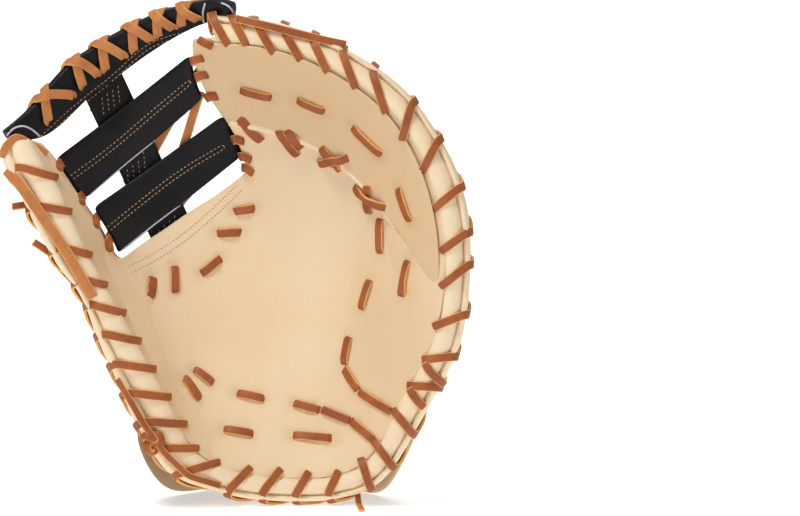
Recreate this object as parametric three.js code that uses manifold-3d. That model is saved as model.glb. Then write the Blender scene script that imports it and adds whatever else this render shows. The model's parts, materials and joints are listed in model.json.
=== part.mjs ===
// First baseman mitt, standing on its heel and wrist strap with the palm facing -Y.
import * as THREE from "three";
import { mergeVertices } from "three/addons/utils/BufferGeometryUtils.js";
import Module from "manifold-3d";

// Driving sizes in millimetres, of the mitt seen square on to its palm
const faceWidth = 280;
const faceHeight = 296;
const cupDepth = 75;
const leanDegrees = 7;

// Leather, lace and the clearance between seated pieces
const palmLeather = 3;
const backLeather = 2.6;
const skived = 1.6;
const panelLeather = 2.2;
const liningLeather = 1.6;
const webLeather = 2.4;
const laceWide = 5.6;
const laceThick = 1.8;
const seat = 0.3;

// Edges and straps
const pocketSag = 9;
const rimDeep = 15.5;
const palmRollDeep = 6;
const bindingRadius = 3.4;
const flapWide = 12;
const flapDeep = 14;
const edgeDeep = 16;
const strapHeight = 50;
const strapLeather = 3;
const tuck = 1.6;
const labelLong = 75;
const labelTall = 40;
const labelThick = 1.6;
const holeHalfWidth = 48;
const holeTall = 44;
const holeCentreX = 37;
const holeBinding = 2.6;
const barThick = 5;
const spineWide = 28;
const spineThick = 3;
const foldGap = 2.4;
const foldStep = 1;
const topBarTall = 24;
const crossGap = 3;

// Colours of the finishes
const creamLeather = 0xe6cca4;
const blackLeather = 0x1c1a1c;
const tanLace = 0xc86a33;

const lean = THREE.MathUtils.degToRad(leanDegrees);
const wasm = await Module();
wasm.setup();

// The face frame has x to the right, h up the palm and f towards the catcher's ball
const point = (x, h, f) => new THREE.Vector3(x, h, f);
const towards = point(0, 0, 1);
const mix = (a, b, t) => a + (b - a) * t;
const clamp = THREE.MathUtils.clamp;
const smooth = THREE.MathUtils.smoothstep;

// Stations from the thumb's tip round the heel to the finger's tip. Each row gives the web-side edge,
// the groove where the palm meets the rolled rim and the rim's outline, as shares of the face's width
// and height, and the depths as shares of the cup. Flap and sag are shares of their own sizes.
const stationColumns = [
  "inX", "inH", "inF", "rimX", "rimH", "rimF", "outX", "outH", "bulge", "sag", "curl", "flap",
];
const stations = rowsOf(stationColumns, [
  [-0.409, 0.714, 0.69, -0.439, 0.725, 0.83, -0.497, 0.716, 0.08, 0.2, 1.0, 0],
  [-0.381, 0.680, 0.63, -0.418, 0.684, 0.83, -0.490, 0.672, 0.12, 0.2, 1.0, 0],
  [-0.347, 0.631, 0.53, -0.381, 0.627, 0.80, -0.460, 0.619, 0.17, 0.2, 1.0, 0],
  [-0.313, 0.581, 0.44, -0.347, 0.554, 0.77, -0.426, 0.550, 0.23, 0.2, 1.0, 0],
  [-0.281, 0.534, 0.36, -0.310, 0.477, 0.75, -0.381, 0.473, 0.27, 0.3, 1.1, 0],
  [-0.253, 0.486, 0.29, -0.274, 0.415, 0.72, -0.328, 0.404, 0.31, 0.4, 1.2, 0.1],
  [-0.229, 0.494, 0.23, -0.238, 0.352, 0.69, -0.293, 0.319, 0.35, 0.6, 1.4, 0.4],
  [-0.201, 0.512, 0.17, -0.195, 0.277, 0.65, -0.253, 0.234, 0.37, 0.8, 1.6, 0.8],
  [-0.173, 0.530, 0.13, -0.148, 0.194, 0.61, -0.206, 0.137, 0.35, 0.9, 1.8, 1],
  [-0.146, 0.548, 0.11, -0.092, 0.093, 0.55, -0.139, 0.046, 0.27, 1.0, 1.9, 1],
  [-0.116, 0.569, 0.09, -0.011, 0.050, 0.47, -0.028, 0.007, 0.21, 1.0, 2.0, 1],
  [-0.084, 0.589, 0.08, 0.092, 0.034, 0.41, 0.096, -0.005, 0.20, 1.0, 2.0, 1],
  [-0.051, 0.609, 0.09, 0.203, 0.034, 0.41, 0.225, -0.001, 0.20, 1.0, 2.0, 1],
  [-0.024, 0.627, 0.12, 0.289, 0.072, 0.48, 0.323, 0.040, 0.27, 1.0, 1.9, 1],
  [0.002, 0.644, 0.16, 0.362, 0.198, 0.64, 0.418, 0.186, 0.37, 1.1, 1.8, 0.6],
  [0.019, 0.660, 0.19, 0.428, 0.319, 0.80, 0.482, 0.311, 0.45, 1.1, 1.8, 0.1],
  [0.017, 0.680, 0.23, 0.450, 0.453, 0.91, 0.503, 0.449, 0.45, 1.0, 1.8, 0],
  [0.004, 0.712, 0.27, 0.439, 0.569, 0.96, 0.495, 0.587, 0.41, 0.9, 1.8, 0],
  [-0.017, 0.751, 0.36, 0.400, 0.684, 0.97, 0.450, 0.704, 0.37, 0.8, 1.7, 0],
  [-0.045, 0.789, 0.45, 0.328, 0.785, 0.96, 0.366, 0.808, 0.32, 0.7, 1.6, 0],
  [-0.069, 0.826, 0.53, 0.225, 0.854, 0.92, 0.246, 0.887, 0.27, 0.5, 1.5, 0],
  [-0.081, 0.858, 0.60, 0.118, 0.899, 0.88, 0.135, 0.935, 0.21, 0.4, 1.4, 0],
  [-0.090, 0.895, 0.65, 0.021, 0.915, 0.83, 0.017, 0.962, 0.15, 0.3, 1.2, 0],
  [-0.090, 0.923, 0.69, -0.043, 0.919, 0.77, -0.058, 0.974, 0.09, 0.2, 1.0, 0],
]);
const lastStation = stations.length - 1;

// Where the back leather leaves the rim and runs round the wrist instead, station by station
const cuffStart = 8;
const cuff = rowsOf(["x", "h", "f"], [
  [-0.229, 0.125, 0.24],
  [-0.161, 0.002, -0.03],
  [-0.075, 0.003, -0.45],
  [0.058, 0.008, -0.63],
  [0.203, 0.006, -0.56],
  [0.306, -0.006, -0.16],
  [0.379, 0.113, 0.24],
]);

// The finger piece's lower edge: the share of the way across the palm, and the station it crosses there
const fingerSeam = rowsOf(["across", "station"], [
  [0, 18.2],
  [0.2, 18.1],
  [0.4, 17.85],
  [0.6, 17.2],
  [0.8, 16.2],
  [1, 15.5],
]);

// The rolled top bar of the web, from the thumb's tip to the finger's tip, by shares of the face and cup
const topBar = rowsOf(["x", "h", "f", "tall"], [
  [-0.484, 0.746, 0.78, 0.292],
  [-0.436, 0.785, 0.67, 0.833],
  [-0.364, 0.868, 0.53, 1],
  [-0.300, 0.913, 0.46, 1],
  [-0.225, 0.953, 0.44, 0.875],
  [-0.161, 0.980, 0.48, 0.75],
  [-0.096, 0.994, 0.58, 0.583],
  [-0.043, 1.003, 0.71, 0.242],
  [-0.008, 0.996, 0.79, 0.233],
]);
const barDown = point(0.594, -0.805, 0);

// The flat bars of the web. Stations name where their corners meet the thumb and the finger, and
// sags say how far the upper and lower long edges bow back, as shares of the cup.
const bars = rowsOf(["name", "thumbTop", "thumbLow", "fingerTop", "fingerLow", "sagTop", "sagLow"], [
  ["web_bar_upper", 0.8, 2.6, 22, 19.6, 0.24, 0.19],
  ["web_bar_lower", 3.0, 5.0, 18.5, 16.2, 0.16, 0.055],
]);

// The spine behind the bars, from the top bar down to the flap
const spine = rowsOf(["along", "x", "h", "f"], [
  [0, -0.294, 0.853, 0.306],
  [0.225, -0.257, 0.777, 0.246],
  [0.5, -0.212, 0.685, 0.126],
  [0.62, -0.193, 0.645, 0.086],
  [0.89, -0.148, 0.554, 0.026],
  [1, -0.133, 0.523, 0.001],
]);

// Runs of the rim's whipped lace: stations they cover, how many turns, and the slant of each front pass
const rimRuns = rowsOf(["from", "to", "turns", "slant"], [
  [0.6, 9.2, 11, -0.3],
  [9.2, 13.2, 6, -0.4],
  [13.2, 15.2, 3, -0.35],
  [15.2, 22.1, 14, 0.6],
]);

function rowsOf(names, rows) {
  return rows.map((row) => Object.fromEntries(names.map((name, i) => [name, row[i]])));
}

// A smooth value of one column between the rows
function along(rows, name, t) {
  const last = rows.length - 1;
  const i = clamp(Math.floor(t), 0, last - 1);
  const s = clamp(t, 0, last) - i;
  const a = rows[Math.max(i - 1, 0)][name];
  const b = rows[i][name];
  const c = rows[i + 1][name];
  const d = rows[Math.min(i + 2, last)][name];
  const bend = (2 * a - 5 * b + 4 * c - d) * s * s + (3 * b - a - 3 * c + d) * s * s * s;
  return b + 0.5 * ((c - a) * s + bend);
}

// The same for rows whose first column says where they stand
function between(rows, key, name, t) {
  let i = 0;
  while (i < rows.length - 2 && t > rows[i + 1][key]) i += 1;
  const s = clamp((t - rows[i][key]) / (rows[i + 1][key] - rows[i][key]), 0, 1);
  return mix(rows[i][name], rows[i + 1][name], s * s * (3 - 2 * s) * 0.35 + s * 0.65);
}

// The web-side edge, the groove and the rim's outline at a station
function innerEdge(u) {
  const x = along(stations, "inX", u) * faceWidth;
  const h = along(stations, "inH", u) * faceHeight;
  return point(x, h, along(stations, "inF", u) * cupDepth);
}
function groove(u) {
  const x = along(stations, "rimX", u) * faceWidth;
  const h = along(stations, "rimH", u) * faceHeight;
  return point(x, h, along(stations, "rimF", u) * cupDepth);
}
function outline(u) {
  const x = along(stations, "outX", u) * faceWidth;
  const h = along(stations, "outH", u) * faceHeight;
  return point(x, h, along(stations, "rimF", u) * cupDepth);
}

// The unit direction across the palm in the face's plane, from the web side to the rim
function across(u) {
  const d = groove(u).sub(innerEdge(u)).setZ(0);
  return d.normalize();
}

// The unit direction square to the web-side edge, pointing into the leather
function inward(u) {
  const d = innerEdge(u + 0.15).sub(innerEdge(u - 0.15)).setZ(0).normalize();
  return point(d.y, -d.x, 0);
}

// The palm's front face: t runs from the web-side edge to the groove
function palmFace(u, t) {
  const a = innerEdge(u);
  const b = groove(u);
  const rise = Math.pow(t, along(stations, "curl", u));
  const dip = pocketSag * along(stations, "sag", u) * Math.sin(Math.PI * t);
  return point(mix(a.x, b.x, t), mix(a.y, b.y, t), mix(a.z, b.z, rise) - dip);
}

// Where the back leather begins at the web side and ends at the rim or the wrist
function backStart(u) {
  const flap = clamp(along(stations, "flap", u), 0, 1);
  const inset = 2 * bindingRadius + 2 * seat + mix(tuck, flapWide, flap);
  const start = innerEdge(u).addScaledVector(inward(u), inset);
  return start.setZ(start.z - mix(edgeDeep, flapDeep, flap));
}
function backEnd(u) {
  const rim = groove(u);
  rim.z -= rimDeep;
  const t = u - cuffStart;
  const cuffLast = cuff.length - 1;
  if (t <= -1 || t >= cuffLast + 1) return rim;
  const row = clamp(t, 0, cuffLast);
  const x = along(cuff, "x", row) * faceWidth;
  const h = along(cuff, "h", row) * faceHeight;
  const wrist = point(x, h, along(cuff, "f", row) * cupDepth);
  const share = t < 0 ? 1 + t : t > cuffLast ? 1 + cuffLast - t : 1;
  return rim.lerp(wrist, smooth(share, 0, 1));
}

// Where the back is narrower than this, as on the thumb, it bulges straight back
const narrowBack = [faceWidth * 0.05, faceWidth * 0.18];

// The outside of the back leather, bulging away from the palm over the hand
function backFace(u, t) {
  const a = backStart(u);
  const chord = backEnd(u).sub(a);
  const way = chord.clone().normalize();
  const out = towards.clone().negate();
  out.addScaledVector(way, -out.dot(way)).normalize();
  const narrow = 1 - smooth(chord.clone().setZ(0).length(), narrowBack[0], narrowBack[1]);
  out.lerp(inward(u).multiplyScalar(0.5).sub(towards), narrow).normalize();
  const swell = along(stations, "bulge", u) * cupDepth * Math.pow(Math.sin(Math.PI * t), 0.8);
  return a.addScaledVector(chord, t).addScaledVector(out, swell);
}

// Standing the mitt up: the face leans back, the heel is lifted by the lace under it, and nothing
// goes below the height that is given
const heelLift = laceThick + 4 * seat;
const centreX = faceWidth * 0.0037;
const centreY = cupDepth * 0.0094;
function standing(p, floor) {
  const z = p.y * Math.cos(lean) + p.z * Math.sin(lean) + heelLift;
  const y = p.y * Math.sin(lean) - p.z * Math.cos(lean);
  return [p.x - centreX, y - centreY, Math.max(z, floor)];
}

// A closed body from points in the face frame and the triangles between them
function body(points, faces, floor) {
  const at = points.map((p) => standing(p, floor));
  let volume = 0;
  for (const [i, j, k] of faces) {
    const a = new THREE.Vector3(...at[i]);
    volume += a.dot(new THREE.Vector3(...at[j]).cross(new THREE.Vector3(...at[k])));
  }
  const turned = volume < 0 ? faces.map(([i, j, k]) => [i, k, j]) : faces;
  const geometry = new THREE.BufferGeometry();
  geometry.setAttribute("position", new THREE.Float32BufferAttribute(at.flat(), 3));
  geometry.setIndex(turned.flat());
  return geometry;
}

const group = new THREE.Group();
function add(name, geometry, colour, roughness) {
  geometry.computeVertexNormals();
  const finish = new THREE.MeshStandardMaterial({ color: colour, roughness, metalness: 0 });
  const mesh = new THREE.Mesh(geometry, finish);
  mesh.name = name;
  group.add(mesh);
}
const addCream = (name, geometry) => add(name, geometry, creamLeather, 0.55);
const addBlack = (name, geometry) => add(name, geometry, blackLeather, 0.45);
const addLace = (name, geometry) => add(name, geometry, tanLace, 0.6);

const steps = (from, to, count) => Array.from({ length: count + 1 }, (_, i) => mix(from, to, i / count));

// A sheet of leather on a face: front and behind are how far its two sides lie behind the face
function sheet(face, us, span, count, front, behind, floor = 0) {
  const points = [];
  const rows = us.length;
  const cols = count + 1;
  for (const side of [front, behind]) {
    for (const u of us) {
      const [t0, t1] = span(u);
      for (const t of steps(t0, t1, count)) {
        const offset = typeof side === "function" ? side(u, t) : side;
        points.push(face(u, t).addScaledVector(normalAt(face, u, t), offset));
      }
    }
  }
  const id = (side, i, j) => side * rows * cols + i * cols + j;
  const faces = [];
  const quad = (a, b, c, d) => faces.push([a, b, c], [a, c, d]);
  for (let i = 0; i < rows - 1; i += 1) {
    for (let j = 0; j < count; j += 1) {
      quad(id(1, i, j), id(1, i + 1, j), id(1, i + 1, j + 1), id(1, i, j + 1));
      quad(id(0, i, j), id(0, i, j + 1), id(0, i + 1, j + 1), id(0, i + 1, j));
    }
    quad(id(0, i, 0), id(0, i + 1, 0), id(1, i + 1, 0), id(1, i, 0));
    quad(id(1, i, count), id(1, i + 1, count), id(0, i + 1, count), id(0, i, count));
  }
  for (let j = 0; j < count; j += 1) {
    quad(id(1, 0, j), id(1, 0, j + 1), id(0, 0, j + 1), id(0, 0, j));
    quad(id(0, rows - 1, j), id(0, rows - 1, j + 1), id(1, rows - 1, j + 1), id(1, rows - 1, j));
  }
  return body(points, faces, floor);
}

function normalAt(face, u, t) {
  const e = 0.02;
  const du = face(u + e, t).sub(face(u - e, t));
  const dt = face(u, Math.min(t + e, 1)).sub(face(u, Math.max(t - e, 0)));
  return du.cross(dt).normalize();
}

// A body swept through rings of points, closed at both ends or round on itself
function rings(list, floor = 0, round = false) {
  const size = list[0].length;
  const points = list.flat();
  const faces = [];
  const turns = round ? list.length : list.length - 1;
  for (let i = 0; i < turns; i += 1) {
    const next = (i + 1) % list.length;
    for (let j = 0; j < size; j += 1) {
      const k = (j + 1) % size;
      faces.push([i * size + j, next * size + j, next * size + k]);
      faces.push([i * size + j, next * size + k, i * size + k]);
    }
  }
  if (!round) {
    const end = (list.length - 1) * size;
    const cap = capOf(list[0]);
    cap.forEach(([a, b, c]) => faces.push([a, b, c]));
    capOf(list[list.length - 1]).forEach(([a, b, c]) => faces.push([end + a, end + c, end + b]));
  }
  return body(points, faces, floor);
}

// Triangles over the flat end of a ring, found in the ring's own plane
function capOf(ring) {
  const centre = ring.reduce((s, p) => s.add(p), point(0, 0, 0)).divideScalar(ring.length);
  const normal = point(0, 0, 0);
  ring.forEach((p, i) => {
    const q = ring[(i + 1) % ring.length];
    normal.add(p.clone().sub(centre).cross(q.clone().sub(centre)));
  });
  normal.normalize();
  const a = ring[1].clone().sub(ring[0]).normalize();
  const b = normal.clone().cross(a);
  const flat = ring.map((p) => {
    const from = p.clone().sub(centre);
    return new THREE.Vector2(from.dot(a), from.dot(b));
  });
  const turn = Math.sign(THREE.ShapeUtils.area(flat));
  return THREE.ShapeUtils.triangulateShape(flat, []).map(([i, j, k]) => {
    const area = THREE.ShapeUtils.area([flat[i], flat[j], flat[k]]);
    return Math.sign(area) === turn ? [i, j, k] : [i, k, j];
  });
}

// A flat lace through stops, each a place and the way its face looks
function strand(stops, wide = laceWide, thick = laceThick, floor = 0) {
  const list = stops.map((stop, i) => {
    const before = stops[Math.max(i - 1, 0)].at;
    const after = stops[Math.min(i + 1, stops.length - 1)].at;
    const way = after.clone().sub(before).normalize();
    const side = way.clone().cross(stop.face).normalize();
    const face = side.clone().cross(way).normalize();
    return [[-1, -1], [1, -1], [1, 1], [-1, 1]].map(([a, b]) =>
      stop.at.clone().addScaledVector(side, (a * wide) / 2).addScaledVector(face, (b * thick) / 2),
    );
  });
  return rings(list, floor);
}

function solid(geometry) {
  const plain = geometry.clone();
  plain.deleteAttribute("normal");
  plain.deleteAttribute("uv");
  const merged = mergeVertices(plain, 1e-4);
  const vertProperties = merged.attributes.position.array;
  const triVerts = new Uint32Array(merged.index.array);
  return new wasm.Manifold(new wasm.Mesh({ numProp: 3, vertProperties, triVerts }));
}
function geometryOf(made) {
  const mesh = made.getMesh();
  const geometry = new THREE.BufferGeometry();
  geometry.setAttribute("position", new THREE.BufferAttribute(mesh.vertProperties, 3));
  geometry.setIndex(new THREE.BufferAttribute(mesh.triVerts, 1));
  return geometry;
}

// The rim's own frame at a station: where the lace slot starts and how wide the two rolls are
const slotWide = laceThick + 8 * seat;
const underLace = laceThick + seat;
function rim(u) {
  const origin = groove(u);
  const out = outline(u).sub(origin);
  const wide = out.length();
  out.normalize();
  const slope = Math.abs(normalAt(palmFace, u, 1).dot(out));
  const slot = palmLeather * slope + seat / 2;
  const rolls = Math.max(wide - slot - slotWide, 8);
  return { origin, out, slot, start: slot + slotWide, rolls };
}
const rimPoint = (r, o, f) => r.origin.clone().addScaledVector(r.out, o).addScaledVector(towards, f);

// Each roll is an oval of its own share of the rim
const rollShapes = rowsOf(["name", "centre", "half", "deep", "back", "short"], [
  ["palm_rim_roll", 0.25, 0.25, palmRollDeep, 4, 0],
  ["back_rim_roll", 0.75, 0.25, palmRollDeep + 0.5, 6, 0.4],
]);
function rollRing(u, shape, sides, grow = 0) {
  const r = rim(u);
  return Array.from({ length: sides }, (_, i) => {
    const a = (2 * Math.PI * i) / sides;
    const half = shape.half * r.rolls - seat + grow;
    const o = r.start + shape.centre * r.rolls + half * Math.cos(a);
    return rimPoint(r, o, (shape.deep + grow) * Math.sin(a) - shape.back);
  });
}
function rollPoint(r, shape, degrees, grow) {
  const a = THREE.MathUtils.degToRad(degrees);
  const half = shape.half * r.rolls + grow;
  const o = r.start + shape.centre * r.rolls + half * Math.cos(a);
  return rimPoint(r, o, (shape.deep + grow) * Math.sin(a) - shape.back);
}

// One turn of the whipped lace: up through the slot, over both rolls and back behind them
const laceLift = laceThick / 2 + seat;
const turnStops = rowsOf(["roll", "degrees", "share", "lift"], [
  [0, 95, 0.35, 1.7],
  [1, 85, 0.75, 1.2],
  [1, 38, 0.9, 1.5],
  [1, -5, 1, 1.4],
  [1, -50, 1, 2.0],
  [1, -95, 1, 1.5],
  [0, -90, 1, 1.7],
]);
const frontStops = 4;
function rimLace(runs) {
  const [frontRoll, backRoll] = rollShapes;
  const stops = [];
  const placeRound = (u, shape, stop) => {
    const r = rim(u);
    const centre = rimPoint(r, r.start + r.rolls / 2, -5);
    const at = rollPoint(r, shape, stop.degrees, laceLift + stop.lift);
    stops.push({ at, face: at.clone().sub(centre).normalize() });
  };
  const placeInSlot = (u, f) => {
    const r = rim(u);
    stops.push({ at: rimPoint(r, r.slot + slotWide / 2 + seat / 2, f), face: r.out.clone().negate() });
  };
  for (const run of runs) {
    const pitch = (run.to - run.from) / run.turns;
    for (let i = 0; i < run.turns; i += 1) {
      const start = run.from + i * pitch;
      placeInSlot(start, 0.4);
      turnStops.forEach((stop, k) => {
        const front = run.slant * pitch * stop.share;
        const back = k < frontStops ? 0 : ((k - frontStops + 1) / 4.2) * (1 - run.slant) * pitch;
        placeRound(start + front + back, stop.roll ? backRoll : frontRoll, stop);
      });
      placeInSlot(start + pitch, -rimDeep - 1.5);
    }
  }
  return strand(stops);
}

// A short loop of lace over the web-side edge, from the palm's face round to the binding behind it
function edgeLoop(u, inset, lift, tilt) {
  const side = inward(u);
  const roll = bindingCentre(u);
  const front = innerEdge(u);
  const clear = laceThick / 2 + seat;
  const far = inset / groove(u).distanceTo(innerEdge(u));
  const out = normalAt(palmFace, u + tilt, far).negate();
  const start = palmFace(u + tilt, far).addScaledVector(out, clear + lift + 1.8);
  const stop = (from, inside, deep, face) => ({
    at: from.clone().addScaledVector(side, inside).addScaledVector(towards, deep),
    face: face.clone().normalize(),
  });
  const web = side.clone().negate();
  const behind = towards.clone().negate();
  const round = bindingRadius + clear;
  const stops = [
    { at: start, face: out },
    { at: front.clone().addScaledVector(out, clear + lift + 1.3), face: out },
    stop(front, -clear - 1.4, lift / 2 - 0.5, web),
    stop(roll, -round - 1.9, 0, web),
    stop(roll, -round * 0.97, -round * 0.97, web.clone().add(behind)),
    stop(roll, 0, -round - 1.8, behind),
    stop(roll, 5, -round - 3.2, behind),
  ];
  return strand(stops);
}

function bindingCentre(u) {
  const start = backStart(u);
  const flap = clamp(along(stations, "flap", u), 0, 1);
  start.addScaledVector(inward(u), -bindingRadius - 2 * seat - tuck * (1 - flap));
  return start.setZ(start.z + backLeather / 2);
}

// Palm, finger piece and the lining that shows inside the wrist
addCream(
  "palm",
  sheet(palmFace, steps(0, lastStation, 46), () => [0, 1], 6, 0, palmLeather, underLace),
);
const seamAt = (t) => between(fingerSeam, "across", "station", t);
const fingerFace = (s, t) => palmFace(mix(seamAt(t), lastStation - 0.1, s), t);
addCream(
  "finger_piece",
  sheet(fingerFace, steps(0, 1, 13), () => [0.01, 0.985], 6, -seat - panelLeather, -seat, 0),
);
addBlack(
  "hand_lining",
  sheet(
    palmFace,
    steps(8.4, 14.6, 14),
    () => [0.3, 0.93],
    5,
    palmLeather + 2 * seat,
    palmLeather + 2 * seat + liningLeather,
    underLace,
  ),
);

// The back: one shell with an arch cut out over the wrist
const holeLow = strapHeight + holeBinding - 4;
const reachAt = (u, t) => standing(backFace(u, t), 0);
function archHeight(x) {
  const s = clamp((x - holeCentreX) / (holeHalfWidth - holeBinding), -1, 1);
  return holeLow + holeTall * (0.42 + 0.58 * Math.sqrt(1 - Math.pow(Math.abs(s), 2.4)));
}
function strapTop(x) {
  const s = clamp((x - holeCentreX) / holeHalfWidth, -1.15, 1.15);
  return strapHeight - 4 + 9 * s * s;
}
// The share of the way down the back at which its outside is at the height wanted
function downTo(u, height) {
  let low = 0.2;
  let high = 1;
  for (let i = 0; i < 24; i += 1) {
    const mid = (low + high) / 2;
    const [x, , z] = reachAt(u, mid);
    if (z > height(x)) low = mid;
    else high = mid;
  }
  return (low + high) / 2;
}
function stationAtX(x, height, from, to) {
  let low = from;
  let high = to;
  for (let i = 0; i < 24; i += 1) {
    const mid = (low + high) / 2;
    const t = downTo(mid, height);
    if (reachAt(mid, t)[0] < x) low = mid;
    else high = mid;
  }
  return (low + high) / 2;
}
const archLeft = stationAtX(holeCentreX - holeHalfWidth + holeBinding, archHeight, 9, 12);
const archRight = stationAtX(holeCentreX + holeHalfWidth - holeBinding, archHeight, 12, 14.2);
const hair = 0.02;
const backStations = [
  ...steps(0, archLeft - hair, 18),
  ...steps(archLeft + hair, archRight - hair, 10),
  ...steps(archRight + hair, lastStation, 18),
];
const inArch = (u) => u > archLeft && u < archRight;
addCream(
  "back_shell",
  sheet(
    backFace,
    backStations,
    (u) => [0, inArch(u) ? downTo(u, archHeight) : 1],
    6,
    (u, t) => skived * smooth(t, 0.75, 1) - backLeather,
    0,
    0,
  ),
);

// Wrist strap over the ends of the shell, with its label
const strapFrom = archLeft - 0.32;
const strapTo = archRight + 0.1;
addCream(
  "wrist_strap",
  sheet(
    backFace,
    steps(strapFrom, strapTo, 14),
    (u) => [downTo(u, strapTop), 1],
    5,
    1.5 * seat,
    1.5 * seat + strapLeather,
    0,
  ),
);
const labelLow = 5;
function labelEnd(sign) {
  return stationAtX(holeCentreX + (sign * labelLong) / 2, () => strapHeight / 2, 9, 14.2);
}
addBlack(
  "wrist_label",
  sheet(
    backFace,
    steps(labelEnd(-1), labelEnd(1), 10),
    (u) => [downTo(u, () => labelLow + labelTall), downTo(u, () => labelLow)],
    3,
    strapLeather + 3 * seat,
    strapLeather + 3 * seat + labelThick,
    0,
  ),
);

// The rolled binding round the wrist opening
function onBack(x, z) {
  let u = 12;
  let t = 0.6;
  for (let i = 0; i < 40; i += 1) {
    const here = reachAt(u, t);
    const byU = reachAt(u + 0.01, t);
    const byT = reachAt(u, t + 0.001);
    const a = (byU[0] - here[0]) / 0.01;
    const b = (byT[0] - here[0]) / 0.001;
    const c = (byU[2] - here[2]) / 0.01;
    const d = (byT[2] - here[2]) / 0.001;
    const ex = x - here[0];
    const ez = z - here[2];
    const det = a * d - b * c;
    u = clamp(u + (0.7 * (d * ex - b * ez)) / det, 9, 14.4);
    t = clamp(t + (0.7 * (a * ez - c * ex)) / det, 0.05, 0.985);
  }
  return { u, t };
}
const holeStops = 30;
const holeMiddle = holeLow + holeTall * 0.42;
const holeRing = Array.from({ length: holeStops }, (_, i) => {
  const a = (2 * Math.PI * i) / holeStops;
  const reach = holeHalfWidth - holeBinding * 2;
  const x = holeCentreX + reach * Math.sign(Math.cos(a)) * Math.pow(Math.abs(Math.cos(a)), 0.8);
  const rise = holeBinding + 2 * seat;
  const up = Math.sin(a) > 0 ? archHeight(x) - rise : strapTop(x) + rise;
  const z = mix(holeMiddle, up, Math.pow(Math.abs(Math.sin(a)), 0.55));
  const { u, t } = onBack(x, z);
  return { at: backFace(u, t), out: normalAt(backFace, u, t) };
});
addCream(
  "wrist_binding",
  rings(
    holeRing.map(({ at, out }, i) => {
      const before = holeRing[(i + holeStops - 1) % holeStops].at;
      const after = holeRing[(i + 1) % holeStops].at;
      const side = after.clone().sub(before).normalize().cross(out).normalize();
      return Array.from({ length: 6 }, (_, j) => {
        const a = (2 * Math.PI * j) / 6;
        return at
          .clone()
          .addScaledVector(side, holeBinding * Math.cos(a))
          .addScaledVector(out, (holeBinding + 0.6) * Math.sin(a));
      });
    }),
    0,
    true,
  ),
);

// The two rolls of the rim, the binding of the web side and the lace that whips the rim
for (const shape of rollShapes) {
  const list = steps(0, lastStation - shape.short, 48).map((u) => rollRing(u, shape, 6));
  addCream(shape.name, rings(list, underLace));
}
addCream(
  "web_side_binding",
  rings(
    steps(0.3, lastStation - 0.4, 38).map((u) => {
      const centre = bindingCentre(u);
      const side = inward(u);
      return Array.from({ length: 6 }, (_, i) => {
        const a = (2 * Math.PI * i) / 6;
        return centre
          .clone()
          .addScaledVector(side, bindingRadius * Math.cos(a))
          .addScaledVector(towards, bindingRadius * Math.sin(a));
      });
    }),
  ),
);
addLace("rim_lace_thumb", rimLace(rimRuns.slice(0, 2)));
addLace("rim_lace_finger", rimLace(rimRuns.slice(2)));

// Loops of lace over the web-side edges
const fingerLoops = [21.6, 20.7, 19.5, 17.3, 16.3, 15.3];
fingerLoops.forEach((u, i) => {
  addLace(`finger_loop_${i + 1}`, edgeLoop(u, 6, u > 18 ? panelLeather + seat : 0, 0));
});
const thumbLoops = [1.2, 2.5, 3.4, 4.3];
thumbLoops.forEach((u, i) => {
  addLace(`thumb_loop_${i + 1}`, edgeLoop(u, 5, 0, 0.25));
});

// Flat bars of the web, tucked behind the thumb's edge and meeting the finger's
const barBehind = palmLeather + barThick / 2 + 2;
const barShort = 5.6;
for (const bar of bars) {
  const corner = (u, lap) => {
    const p = innerEdge(u).addScaledVector(inward(u), lap);
    return p.setZ(p.z - barBehind);
  };
  const face = (s, t) => {
    const left = corner(mix(bar.thumbTop, bar.thumbLow, t), -barShort);
    const right = corner(mix(bar.fingerTop, bar.fingerLow, t), -barShort);
    const p = left.lerp(right, s);
    const sag = mix(bar.sagTop, bar.sagLow, t) * cupDepth * 4 * s * (1 - s);
    return p.setZ(p.z - sag);
  };
  const crown = (s, t) => (barThick / 2) * Math.pow(Math.max(1 - Math.pow(2 * t - 1, 6), 0.12), 0.5);
  addBlack(
    bar.name,
    sheet(
      (s, t) => face(s, 1 - t),
      steps(0, 1, 12),
      () => [0, 1],
      5,
      (s, t) => -crown(s, t),
      crown,
    ),
  );
}

// Spine strap behind the bars
const barWay = point(0.777, 0.63, 0);
function spineFace(s, t) {
  const x = between(spine, "along", "x", s) * faceWidth;
  const h = between(spine, "along", "h", s) * faceHeight;
  const f = between(spine, "along", "f", s) * cupDepth;
  return point(x, h, f).addScaledVector(barWay, (t - 0.5) * spineWide);
}
addBlack(
  "web_spine",
  sheet(spineFace, steps(0, 1, 12), () => [0, 1], 3, -spineThick / 2, spineThick / 2),
);

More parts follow.
